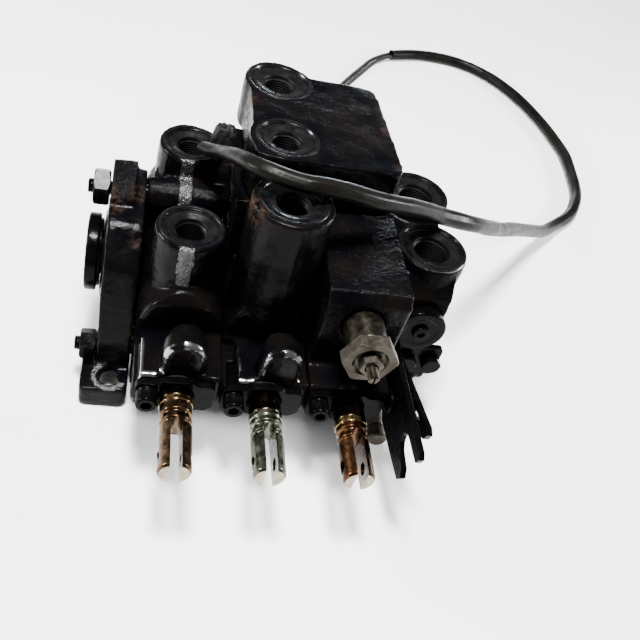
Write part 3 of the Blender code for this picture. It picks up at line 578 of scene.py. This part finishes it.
def smooth_route(points, spacing):
    """Points every `spacing` along the smooth curve through the route's own points."""
    pts = [Vector(p) for p in points]
    pts = [pts[0] * 2 - pts[1]] + pts + [pts[-1] * 2 - pts[-2]]
    dense = []
    for a, b, c, d in zip(pts, pts[1:], pts[2:], pts[3:]):
        for k in range(24):
            t = k / 24
            dense.append(0.5 * (2 * b + (c - a) * t + (2 * a - 5 * b + 4 * c - d) * t ** 2
                                + (3 * b - a - 3 * c + d) * t ** 3))
    dense.append(pts[-2])
    lengths = [0.0]
    for a, b in zip(dense, dense[1:]):
        lengths.append(lengths[-1] + (b - a).length)
    count = max(2, round(lengths[-1] / spacing))
    route, k = [], 0
    for i in range(count + 1):
        want = lengths[-1] * i / count
        while k < len(lengths) - 2 and lengths[k + 1] < want:
            k += 1
        t = (want - lengths[k]) / max(lengths[k + 1] - lengths[k], 1e-9)
        route.append(dense[k].lerp(dense[k + 1], t))
    return route


def side_route(points, offset):
    """The route moved sideways, level with the floor; where it climbs, straight along X."""
    moved = []
    for i, p in enumerate(points):
        ahead = Vector(points[min(i + 1, len(points) - 1)]) - Vector(points[max(i - 1, 0)])
        side = Vector((1.0, 0.0, 0.0)) if abs(ahead.z) > 3.0 else Vector((-ahead.y, ahead.x, 0.0))
        moved.append(Vector(p) + side.normalized() * offset)
    return moved


def route_length(route):
    return sum((b - a).length for a, b in zip(route, route[1:]))


def swept(route, section, sides, wall=0.0):
    """A tube along a route. section(share, angle) gives the radius; a wall makes its far end hollow."""
    bm = bmesh.new()
    rings = []
    up = Vector((0.0, 0.0, 1.0))
    for i, p in enumerate(route):
        ahead = (route[min(i + 1, len(route) - 1)] - route[max(i - 1, 0)]).normalized()
        side = ahead.cross(up).normalized()
        over = side.cross(ahead).normalized()
        share = i / (len(route) - 1)
        ring = []
        for k in range(sides):
            angle = 2 * math.pi * k / sides
            across_r, over_r = section(share, angle)
            ring.append(bm.verts.new(p + side * math.cos(angle) * across_r + over * math.sin(angle) * over_r))
        rings.append(ring)
    for a, b in zip(rings, rings[1:]):
        for k in range(sides):
            m = (k + 1) % sides
            bm.faces.new((a[k], a[m], b[m], b[k]))
    bm.faces.new(rings[0])
    if wall:
        ends = rings[-1]
        centre, back = route[-1], (route[-2] - route[-1]).normalized()
        for depth in (0.0, 14.0):
            inner = [bm.verts.new(centre + (v.co - centre) * (1 - wall) + back * depth) for v in rings[-1]]
            for k in range(sides):
                m = (k + 1) % sides
                bm.faces.new((ends[k], ends[m], inner[m], inner[k]))
            ends = inner
        bm.faces.new(ends)
    else:
        bm.faces.new(rings[-1])
    bmesh.ops.recalc_face_normals(bm, faces=bm.faces)
    return bm


def sleeve_section(share, angle):
    """Round sleeving that is pinched flat at its start and slack along the way."""
    flat = max(0.0, 1.0 - share / 0.20)
    slack = 0.35 * noise.noise(Vector((share * 46.0, math.cos(angle) * 0.7, math.sin(angle) * 0.7)))
    crease = -0.40 * max(0.0, math.cos(3 * angle + 5 * math.sin(share * 9.0))) ** 6
    swell = 1.0 + 0.05 * math.sin(share * 31.0) * flat
    wide = (SLEEVE_R * swell - 0.15 + slack + crease) * (1.0 - 0.05 * flat)
    high = (SLEEVE_R - 0.25 + slack + crease) * (1.0 - 0.30 * flat)
    return min(wide, SLEEVE_R), min(high, SLEEVE_R)


def cable():
    route = smooth_route(SLEEVE_ROUTE, 3.0)
    sleeve = placed("wiring_sleeve", swept(route, sleeve_section, 28, wall=0.16), "sleeve")
    smooth(sleeve, 50)
    stands_for(sleeve, ROOT, "sleeve", "cable_sleeve")
    line = [ZERO + p * MM for p in route]
    tuple(line[0])
    route_length(route) * MM
    [tuple(p) for p in line]
    for name, side in (("wire_a", -1), ("wire_b", 1)):
        route = smooth_route(side_route(WIRE_ROUTE, side * WIRE_SPREAD), 3.0)
        wire = placed(f"core_{name[-1]}", swept(route, lambda share, angle: (WIRE_R, WIRE_R), 14), "wire")
        smooth(wire, 50)
        stands_for(wire, ROOT, "rubber", name)
        line = [ZERO + p * MM for p in route]
        tuple(line[0])
        route_length(route) * MM
        [tuple(p) for p in line]


def boot():
    """The rubber boot beside the sleeve's start at the port face: a crumpled blob that narrows upwards."""
    obj = copied("connector_boot", "rubber_boot", "rubber")
    modifier = obj.modifiers.new("even", "REMESH")
    modifier.mode, modifier.voxel_size = "VOXEL", 0.8 * MM
    bake_modifiers(obj)
    low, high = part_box("connector_boot")
    middle = (low + high) / 2
    for vertex in obj.data.vertices:
        p = vertex.co
        share = (p.z - low.z) / (high.z - low.z)
        pinch = 1.0 - 0.35 * share ** 2 - 0.12 * abs(noise.noise(p * 260.0))
        p.x, p.y = middle.x + (p.x - middle.x) * pinch, middle.y + (p.y - middle.y) * pinch
        p.z -= 0.0022 * share * abs(noise.noise(p * 330.0 + Vector((7.0, 0.0, 0.0)))) * 2
    modifier = obj.modifiers.new("even", "SMOOTH")
    modifier.iterations = 2
    bake_modifiers(obj)
    smooth(obj, 60)
    stands_for(obj, ROOT, "rubber", "connector_boot")


# ---------------------------------------------------------------- castings
VOXEL = 1.0
ROUNDS = 7                      # smoothing rounds at 1 mm voxels, which set the fillets' size
BORE_DEPTH = 24.0
RING_DEPTH = 6.0


def near(p, centre, radius, axis="Z"):
    """1 close to an axis or a point, falling to 0 at the radius."""
    if axis is None:
        distance = (p - Vector(centre)).length
    else:
        u, v, _ = AXES[axis]
        distance = math.hypot(p[min(u, v)] - centre[0], p[max(u, v)] - centre[1])
    return max(0.0, 1.0 - distance / radius)


def spotface(bore, boss):
    """Radius of the machined face around a port, which leaves a wall at the boss's edge."""
    return min(bore * 1.9, boss - 2.2)


def port_cuts(node):
    """Room for each port's turned insert."""
    cuts = []
    for _, owner, centre, top, bore, boss in PORTS:
        if owner == node:
            cuts.append(rod(spotface(bore, boss) + 0.6, "Z", centre, top - RING_DEPTH, top + 5.0))
            cuts.append(rod(bore + 1.1, "Z", centre, top - BORE_DEPTH, top - 5.0))
    return cuts


def casting(node, name, grain, rust, extra=None, gloss=None):
    """A casting with rounded edges and fillets, a rough skin, and flat tops left for the port rings.

    grain, rust and gloss tell the paint how rough, rusty or wet it is at a point; extra raises the skin.
    """
    obj = copied(node, name, "casting")
    for bm in port_cuts(node):
        boolean(obj, bm)
    modifier = obj.modifiers.new("even", "REMESH")
    modifier.mode, modifier.voxel_size = "VOXEL", VOXEL * MM
    bake_modifiers(obj)
    modifier = obj.modifiers.new("round", "SMOOTH")
    modifier.factor, modifier.iterations = 0.5, max(2, int(ROUNDS / VOXEL ** 2))
    bake_modifiers(obj)
    mesh = obj.data
    values = {"grain": [], "rust": [], "gloss": []}
    low, high = valve_box(node)
    normals = [v.normal.copy() for v in mesh.vertices]
    for vertex, normal in zip(mesh.vertices, normals):
        p = (vertex.co - ZERO) / MM
        rough = min(1.0, max(0.0, grain(p, normal)))
        lumps = 0.45 * noise.noise(p * 0.09) + (0.10 + 0.30 * rough) * noise.noise(p * 0.42)
        if extra:
            lumps += extra(p, normal)
        p += normal * (lumps - 0.18)
        for _, owner, centre, top, _, boss in PORTS:
            if owner == node and near(p, centre, boss + 0.6) > 0 and p.z > top - 3.0:
                p.z = min(p.z, top - 0.25)
        p = Vector([min(max(c, a + 0.01), b - 0.01) for c, a, b in zip(p, low, high)])
        vertex.co = ZERO + p * MM
        values["grain"].append(rough)
        values["rust"].append(min(1.0, max(0.0, rust(p, normal))))
        values["gloss"].append(gloss(p, normal) if gloss else 0.0)
    for key, numbers in values.items():
        mesh.attributes.new(key, "FLOAT", "POINT").data.foreach_set("value", numbers)
    smooth(obj, 70)
    stands_for(obj, ROOT, "casting", node)


def port_ring(name, centre, top, bore, boss):
    """The machined part of a port: lip, spotface, chamfer and thread, with thread and bore coloured darker as
    painted shade inside the hole.
    """
    face = spotface(bore, boss)
    lip = min(face + 1.6, boss - 0.5)
    profile = [(bore, top - BORE_DEPTH)] + thread(bore, top - 22.5, top - 4.0, 1.34, 0.55)
    cone = bore + (face - bore) * 0.50
    profile += [(bore, top - 3.0), (bore + 0.4, top - 2.1), (cone, top - 1.15), (cone + 0.3, top - 1.05),
                (face - 1.9, top - 1.05), (face - 1.7, top - 1.35), (face - 1.2, top - 1.35),
                (face - 1.0, top - 0.75), (face - 0.3, top - 0.75), (face, top - 0.15),
                (face + 0.3, top - 0.02), (lip - 0.35, top - 0.02), (lip, top - 0.35), (lip, top - 1.6),
                (face + 0.5, top - 1.8), (face + 0.5, top - 5.9), (bore + 1.15, top - 5.9),
                (bore + 1.15, top - BORE_DEPTH)]
    obj = placed(f"{name}_ring", turned(profile, "Z", centre, 72), "machined")
    # thread and bore faces take the darker colour: painted shade inside the hole
    obj.data.materials.append(LOOKS["bore"])
    axis = ZERO + Vector((*centre, 0.0)) * MM
    for polygon in obj.data.polygons:
        if (polygon.center - axis).xy.length < (bore + 0.3) * MM:
            polygon.material_index = 1
    smooth(obj, 25)
    stands_for(obj, ROOT, "casting")


def spots(places):
    """A rust function from (centre, radius, strength) patches in valve millimetres."""
    def rust(p, normal):
        return max([0.0] + [strength * min(1.0, 2.0 * near(p, centre, radius, None))
                            for centre, radius, strength in places])
    return rust


def end_cover_grain(p, normal):
    """Glittering paint around the front foot's hole, half rough on the lug."""
    from_hole = math.hypot(p.x - FOOT_HOLE[0], p.y - FOOT_HOLE[1])
    if -37.5 < p.z < -33.0 and 6.4 < from_hole < 9.6 and (p.x < -33.0 or p.y < 37.0):
        return 1.0
    return 0.80 if p.z > 44.0 else 0.12


def section_1_grain(p, normal):
    """A glittering strip up the front of the bosses, and rough paint on the tie-rod boss."""
    strip = 1.0 if abs(p.x + 2.0) < 3.9 and p.z > 34.0 and normal.y < 0.2 else 0.0
    return max(0.06, strip, near(p, (103.0, 38.0), 15.0, "X"))


def flange_gloss(x, arch_x, step):
    """Bright wet-looking paint on the arch's rim, the flange's left edge and its front corner."""
    def gloss(p, normal):
        u, v = p.x - x - arch_x, p.z - ARCH_Z
        r = math.hypot(u, max(v, 0.0))
        rim = 1.0 if 8.2 < r < 10.7 and p.y < 9.8 and p.z > 9.5 and (u > -1.0 or v < 6.0) else 0.0
        edge = 1.0 if abs(p.x - x - step) < 1.4 and 6.5 < p.z < 10.0 and p.y < 29.0 else 0.0
        corner = 1.0 if -1.0 < p.x - x - step < 8.0 and p.y < 9.0 and 5.5 < p.z < 9.5 else 0.0
        dull = -0.05 if p.y > 29.0 and p.z < 16.0 else 0.0
        return max(rim, edge, corner) + dull
    return gloss


def section_3_grain(p, normal):
    return 0.5 if p.z > 40.0 else 0.15


def parting_line(place, height):
    """A mould parting line: a small step that runs up the casting at one X."""
    def step(p, normal):
        offset = place - p.x
        return height * math.exp(-offset / 5.0) if offset > 0 and p.z > 34.0 and abs(normal.x) < 0.7 else 0.0
    return step


def castings():
    casting("left_end_cover", "cast_end_cover", end_cover_grain,
            spots((((-37.0, 86.0, 45.0), 9.0, 1.0), ((-25.0, 92.0, 46.0), 6.0, 0.8),
                   ((-23.0, 72.0, 32.0), 8.0, 0.45))))
    casting("section_1_body", "cast_section_1", section_1_grain,
            spots((((0.0, 92.0, 35.0), 7.0, 0.35),)), parting_line(1.9, 0.35),
            flange_gloss(0.0, 1.9, -18.0))
    casting("section_2_body", "cast_section_2", lambda p, normal: 0.15,
            spots((((24.0, 44.0, 82.0), 9.0, 1.0), ((30.0, 30.0, 30.0), 5.0, 0.6))),
            parting_line(PITCH + 3.0, 0.25), flange_gloss(PITCH, 5.2, -14.2))
    casting("section_3_body", "cast_section_3", section_3_grain, spots(()))
    casting("inlet_section_body", "cast_inlet_section", lambda p, normal: 0.18,
            spots((((INLET_X - 12.0, 72.0, 51.0), 9.0, 0.5), ((INLET_X - 14.0, 118.0, 51.0), 9.0, 0.4))),
            None, lambda p, normal: -0.02 if normal.z < 0.5 else 0.0)
    casting("raised_port_block", "cast_port_block", lambda p, normal: 0.2,
            spots((((24.0, 132.0, 74.0), 14.0, 1.0), ((24.0, 118.0, 66.0), 10.0, 0.8),
                   ((101.0, 88.0, 80.0), 7.0, 0.8), ((98.0, 120.0, 84.0), 6.0, 0.5))))
    for name, _, centre, top, bore, boss in PORTS:
        port_ring(name, centre, top, bore, boss)


# ---------------------------------------------------------------- spools
CLEVIS_SLOT, SLOT_END = 2.6, -17.0      # half width, and Y where its round end starts
CLEVIS_PIN_R, CLEVIS_PIN_Y = 3.2, -33.0
TAIL_R = 5.0


def spool(number, look, ring_look, collar, neck):
    """A spool whose clevis end has a collar, grooves, a neck and two flat-faced cheeks."""
    x = STACK[number - 1]
    low, high = valve_box(f"spool_{number}")
    r = (high.x - low.x) / 2
    shoulder = neck - 1.0
    profile = [(0.0, low.y), (r - 1.3, low.y), (r - 0.35, low.y + 1.2), (r - 0.3, shoulder - 6.6),
               (r - 1.3, shoulder - 5.8), (r - 1.3, shoulder - 5.0), (r - 0.5, shoulder - 4.4),
               (r - 0.5, shoulder - 3.0), (r - 1.5, shoulder - 2.3), (r - 1.5, shoulder - 0.4),
               (r - 0.4, shoulder + 0.3), (r - 0.4, collar[0]), (r, collar[0] + 0.25),
               (r, collar[1] - 0.25), (r - 0.3, collar[1]), (r - 0.1, collar[1] + 0.5), (r - 0.1, 30.0)]
    for start, end in ((40.0, 56.0), (96.0, 112.0)):
        profile += [(r - 0.1, start), (5.4, start + 1.0), (5.4, end - 1.0), (r - 0.1, end)]
    profile += [(r - 0.1, 149.0), (TAIL_R, 149.0), (TAIL_R, high.y), (0.0, high.y)]
    half = CLEVIS_SLOT
    arc = [(x + half * math.cos(math.pi * i / 12), SLOT_END + half * math.sin(math.pi * i / 12))
           for i in range(13)]
    slot = prism(arc + [(x - half, low.y - 5), (x + half, low.y - 5)], "Z", -12.0, 12.0)
    pin_hole = rod(CLEVIS_PIN_R, "X", (CLEVIS_PIN_Y, 0.0), x - 12, x + 12, 32)
    obj = placed(f"ground_spool_{number}", turned(eased(profile, 0.3), "Y", (x, 0.0), 72), look)
    boolean(obj, slot)
    boolean(obj, pin_hole)
    soften(obj, 0.35, 2, 50)
    smooth(obj, 30)
    for extra in ("clean_end", ring_look, "dark_oil"):
        obj.data.materials.append(LOOKS[extra])
    for polygon in obj.data.polygons:
        y = (polygon.center.y - ZERO.y) / MM
        if polygon.normal.y < -0.9 and y < low.y + 0.3:
            polygon.material_index = 1
        elif collar[0] - 0.1 < y < collar[1] + 0.1:
            polygon.material_index = 2
        elif y > collar[1]:
            polygon.material_index = 3
    stands_for(obj, f"spool_{number}_assembly", look, f"spool_{number}")


def spools():
    spool(1, "spool_bronze", "gold_collar", (-5.0, -2.4), -9.0)
    spool(2, "spool_green", "silver_collar", (-10.5, -7.5), -12.5)
    spool(3, "spool_amber", "gold_collar", (-11.0, -8.0), -13.0)


# ---------------------------------------------------------------- screws, nuts, plates and caps
def chamfered_hex(name, look, flats, axis, centre, low, high, turn, cuts=()):
    """A hex nut or head: a hexagon whose corners are turned off at both ends."""
    obj = placed(name, prism(hexagon(flats, centre, turn), axis, low, high), look)
    corner = flats / math.sqrt(3)
    side = corner - flats / 2
    drum = ((0.0, low), (corner - side * 1.1, low), (corner + 0.2, low + side * 0.9),
            (corner + 0.2, high - side * 0.9), (corner - side * 1.1, high), (0.0, high))
    boolean(obj, turned(drum, axis, centre, 72), "INTERSECT")
    for bm in cuts:
        boolean(obj, bm)
    soften(obj, 0.22, 2, 24)
    return obj


SCREW_X = {1: -13.6, 2: -15.4, 3: -15.4}       # the retainer screw's place, from the spool's axis
KNURLS = 40


def retainer_screws():
    """Socket-head screws with knurled heads, one on each retainer plate."""
    for number in (1, 2, 3):
        node = f"retainer_screw_{number}"
        low, high = valve_box(node)
        r = (high.z - low.z) / 2
        centre = (STACK[number - 1] + SCREW_X[number], (low.z + high.z) / 2)
        profile = eased(((0.0, low.y), (r - 0.5, low.y), (r, low.y + 0.8), (r, low.y + 7.6),
                         (r - 0.4, low.y + 8.0), (3.0, low.y + 8.0), (3.0, high.y), (0.0, high.y)), 0.3)
        bm = turned(profile, "Y", centre, KNURLS * 2)
        for vertex in bm.verts:
            dx, dz = vertex.co.x - centre[0], vertex.co.z - centre[1]
            if math.hypot(dx, dz) > r - 0.05 and low.y + 1.2 < vertex.co.y < low.y + 7.4:
                step = round(math.atan2(dz, dx) / (math.pi / KNURLS))
                squeeze = 0.965 if step % 2 else 1.0
                vertex.co.x, vertex.co.z = centre[0] + dx * squeeze, centre[1] + dz * squeeze
        obj = placed(f"cap_screw_{number}", bm, "black_steel")
        boolean(obj, prism(hexagon(5.0, centre, 12.0 * number), "Y", low.y - 3, low.y + 4.5))
        smooth(obj, 30)
        stands_for(obj, ROOT, "black_steel", node)


def plates_and_levers():
    """Flat pieces keep their CAD outline and get rounded edges."""
    for node, name, width in (("retainer_plate_1", "edged_plate_1", 0.7),
                              ("retainer_plate_2", "edged_plate_2", 0.7),
                              ("retainer_plate_3", "edged_plate_3", 0.7),
                              ("lever_bracket", "bent_bracket", 0.55), ("fork_lever", "forked_lever", 0.6)):
        obj = copied(node, name, "black_steel")
        soften(obj, width, 3)
        stands_for(obj, "fork_lever" if node == "fork_lever" else ROOT, "black_steel", node)


def spring_caps():
    """Round caps behind the sections, with a groove, two spanner flats and a hollow front."""
    for number in (1, 2, 3):
        node = f"spring_cap_{number}"
        low, high = valve_box(node)
        r = (high.x - low.x) / 2
        front, back = low.y, high.y
        profile = ((12.0, front), (r, front), (r, front + 5.0), (r - 0.8, front + 5.6),
                   (r - 0.8, front + 7.2), (r, front + 7.8), (r, back - 2.6), (r - 2.4, back),
                   (6.2, back), (5.6, back - 0.8), (0.0, back - 0.8), (0.0, back - 3.0), (12.0, back - 3.0))
        flats = [prism(((STACK[number - 1] + s * (r - 0.9), r), (STACK[number - 1] + s * (r + 3), r),
                        (STACK[number - 1] + s * (r + 3), -r), (STACK[number - 1] + s * (r - 0.9), -r)),
                       "Y", back - 12.0, back + 3.0) for s in (-1, 1)]
        obj = lathe(f"turned_cap_{number}", "black_steel", profile, "Y", (STACK[number - 1], 0.0), 0.6,
                    cuts=flats)
        stands_for(obj, ROOT, "black_steel", node)


def tie_rods():
    """Threaded rods through the stack, each with a hex nut on the end cover."""
    for name in ("rear_top", "front_low", "rear_low"):
        low, high, centre = centred(f"tie_rod_{name}", "X")
        r = (high.z - low.z) / 2
        profile = [(0.0, low.x), (r - 0.7, low.x)] + thread(r, low.x + 0.6, low.x + 12.0, 1.25, 0.45)
        profile += [(r, high.x), (0.0, high.x)]
        obj = placed(f"threaded_rod_{name}", turned(profile, "X", centre, 40), "black_steel")
        smooth(obj, 25)
        stands_for(obj, ROOT, "black_steel", f"tie_rod_{name}")
        low, high = valve_box(f"tie_nut_{name}")
        flats = min(high.y - low.y, high.z - low.z)
        nut = chamfered_hex(f"hex_nut_{name}", "black_steel", flats, "X", centre, low.x, high.x, 30.0,
                            [rod(r + 0.3, "X", centre, low.x - 2, high.x + 2)])
        stands_for(nut, ROOT, "black_steel", f"tie_nut_{name}")


def end_plug():
    low, high, centre = centred("end_plug", "X")
    out = low.x
    profile = ((0.0, out + 0.7), (15.2, out + 0.7), (15.8, out), (19.2, out), (20.0, out + 0.8),
               (20.0, out + 5.4), (19.4, out + 6.0), (17.6, out + 6.0), (17.6, out + 7.4),
               (11.0, out + 7.4), (11.0, high.x), (0.0, high.x))
    obj = lathe("turned_end_plug", "black_steel", profile, "X", centre, 0.5, 80)
    stands_for(obj, ROOT, "black_steel", "end_plug")


# ---------------------------------------------------------------- relief valve and small fittings
RELIEF_HEX, RELIEF_TURN, RELIEF_HEX_BACK = 24.0, 3.0, 5.5
RELIEF_BORE, SCREW_BORE, DISH_DEPTH = 5.2, 3.3, 0.5


def relief_valve():
    """Hex body with a barrel and a front dish coloured darker as painted shade, its lock nut and its slotted
    adjusting screw.
    """
    low, high = valve_box("relief_body")
    x, z = RELIEF_AXIS
    hex_back = RELIEF_HEX_BACK
    body = placed("relief_hex_body", prism(hexagon(RELIEF_HEX, (x, z), RELIEF_TURN), "Y", low.y, hex_back),
                  "zinc")
    corner = RELIEF_HEX / math.sqrt(3)
    drum = ((0.0, low.y), (13.0, low.y), (corner + 0.3, low.y + 0.9), (corner + 0.3, hex_back),
            (0.0, hex_back))
    boolean(body, turned(drum, "Y", (x, z), 80), "INTERSECT")
    barrel = eased(((0.0, 3.0), (9.6, 3.0), (9.6, 7.0), (10.0, 7.6), (10.0, 58.0), (0.0, 58.0)), 0.3)
    boolean(body, turned(barrel, "Y", (x, z), 80), "UNION")
    dish = ((0.0, DISH_DEPTH), (7.2, DISH_DEPTH), (9.4, -1.5), (9.4, -3.0), (0.0, -3.0))
    boolean(body, turned(dish, "Y", (x, z), 72))
    boolean(body, rod(SCREW_BORE, "Y", (x, z), -4.0, 9.0))
    boolean(body, rod(RELIEF_BORE, "Y", (x, z), 8.5, 60.0))
    soften(body, 0.2, 2, 24)
    # faces inside the front dish take the darker colour: painted shade in the recess
    body.data.materials.append(LOOKS["dish"])
    body.data.materials.append(LOOKS["barrel"])
    for polygon in body.data.polygons:
        place = (polygon.center - ZERO) / MM
        r = math.hypot(place.x - x, place.z - z)
        if low.y + 0.15 < place.y < 1.0 and r < 9.5:
            polygon.material_index = 1
        elif place.y > RELIEF_HEX_BACK + 0.1:
            polygon.material_index = 2
    stands_for(body, ROOT, "zinc", "relief_body")
    low, high = valve_box("relief_lock_nut")
    nut = chamfered_hex("relief_hex_lock_nut", "zinc", 10.0, "Y", (x, z), low.y, high.y, 20.0,
                        [rod(SCREW_BORE, "Y", (x, z), low.y - 2, high.y + 2)])
    stands_for(nut, "relief_lock_nut", "zinc", "relief_lock_nut")
    low, high = valve_box("relief_adjuster")
    profile = [(0.0, low.y), (1.9, low.y)] + thread(2.7, low.y + 0.7, 2.0, 1.0, 0.38)
    profile += [(3.0, 9.5), (4.8, 9.5), (4.8, 12.0), (0.0, 12.0)]
    screw = placed("relief_adjusting_screw", turned(profile, "Y", (x, z), 48), "barrel")
    slot = prism(((x - 0.5, z - 4), (x + 0.5, z - 4), (x + 0.5, z + 4), (x - 0.5, z + 4)), "Y",
                 low.y - 2.0, low.y + 1.5)
    boolean(screw, slot)
    smooth(screw, 25)
    stands_for(screw, "relief_adjuster", "zinc", "relief_adjuster")


def inlet_fittings():
    """The disc plug and its screw, the drain fitting and the pressure switch behind the block."""
    low, high, centre = centred("inlet_disc_plug", "Y")
    y = low.y
    disc = lathe("turned_disc_plug", "black_steel",
                 ((0.0, y + 0.3), (9.0, y + 0.3), (9.8, y), (13.2, y), (14.0, y + 0.8), (14.0, y + 5.9),
                  (8.0, y + 5.9), (8.0, high.y), (0.0, high.y)), "Y", centre, 0.4,
                 cuts=[rod(2.8, "Y", centre, y - 4, y + 10)])
    stands_for(disc, ROOT, "black_steel", "inlet_disc_plug")
    low, high = valve_box("inlet_disc_screw")
    y = low.y
    screw = lathe("disc_cap_screw", "black_steel",
                  ((0.0, y), (4.2, y), (4.6, y + 0.4), (4.6, y + 1.5), (2.5, y + 1.5), (2.5, high.y),
                   (0.0, high.y)), "Y", centre, 0.3, cuts=[prism(hexagon(4.0, centre), "Y", y - 3, y + 1.2)])
    stands_for(screw, ROOT, "black_steel", "inlet_disc_screw")
    centre = centred("drain_fitting", "Y")[2]
    profile = [(0.0, 12.0), (4.4, 12.0), (5.6, 13.2)]
    for groove in (20.0, 27.0):
        profile += [(5.6, groove), (5.1, groove + 0.5), (5.1, groove + 1.2), (5.6, groove + 1.7)]
    profile += [(5.6, 34.0), (6.4, 34.8), (6.4, 41.2), (4.6, 42.0), (4.6, 49.7), (4.0, 49.7), (4.0, 60.0),
                (0.0, 60.0)]
    stands_for(lathe("turned_drain_fitting", "zinc", profile, "Y", centre, 0.3), ROOT, "zinc",
               "drain_fitting")
    high = valve_box("pressure_switch")[1]
    centre = SWITCH_AXIS
    barrel = eased(((0.0, 150.0), (4.5, 150.0), (4.5, 165.0), (7.4, 168.0), (7.4, 177.0), (6.4, 178.4),
                    (5.0, 178.4), (5.0, high.y), (0.0, high.y)), 0.4)
    switch = chamfered_hex("hex_pressure_switch", "brass", 15.5, "Y", centre, 162.3, 168.0, 0.0)
    boolean(switch, turned(barrel, "Y", centre, 64), "UNION")
    smooth(switch)
    stands_for(switch, ROOT, "brass", "pressure_switch")


def lever_fasteners():
    """The bracket's two bolts and the shouldered pin that the fork lever turns on."""
    for name in ("inner", "outer"):
        node = f"bracket_bolt_{name}"
        low, high, centre = centred(node, "Y")
        bolt = chamfered_hex(f"hex_bolt_{name}", "black_steel", 10.0, "Y", centre, low.y, low.y + 4.4, 10.0)
        boolean(bolt, rod(3.0, "Y", centre, low.y + 1.0, high.y), "UNION")
        smooth(bolt)
        stands_for(bolt, ROOT, "black_steel", node)
    low, high, centre = centred("pivot_pin", "X")
    a = low.x
    profile = ((0.0, a), (5.2, a), (6.0, a + 0.7), (6.0, a + 2.1), (4.0, a + 2.1), (4.0, a + 5.7),
               (6.0, a + 5.7), (6.0, a + 10.6), (4.0, a + 10.6), (4.0, high.x - 0.6), (3.4, high.x),
               (0.0, high.x))
    stands_for(lathe("shouldered_pivot_pin", "black_steel", profile, "X", centre, 0.25), ROOT,
               "black_steel", "pivot_pin")


def inner_pieces():
    """Pieces inside the valve keep their CAD shape and get their own finish."""
    slot_of = {row["node"]: row["material_slot"] for row in frame["record"]["subparts"]}
    for node, obj in frame["nodes"].items():
        if not obj.hide_render:
            obj.data.materials.clear()
            obj.data.materials.append(LOOKS[slot_of[node]])


# ---------------------------------------------------------------- everything
camera()
studio()
cable()
boot()
castings()
spools()
retainer_screws()
plates_and_levers()
spring_caps()
tie_rods()
end_plug()
relief_valve()
inlet_fittings()
lever_fasteners()
inner_pieces()
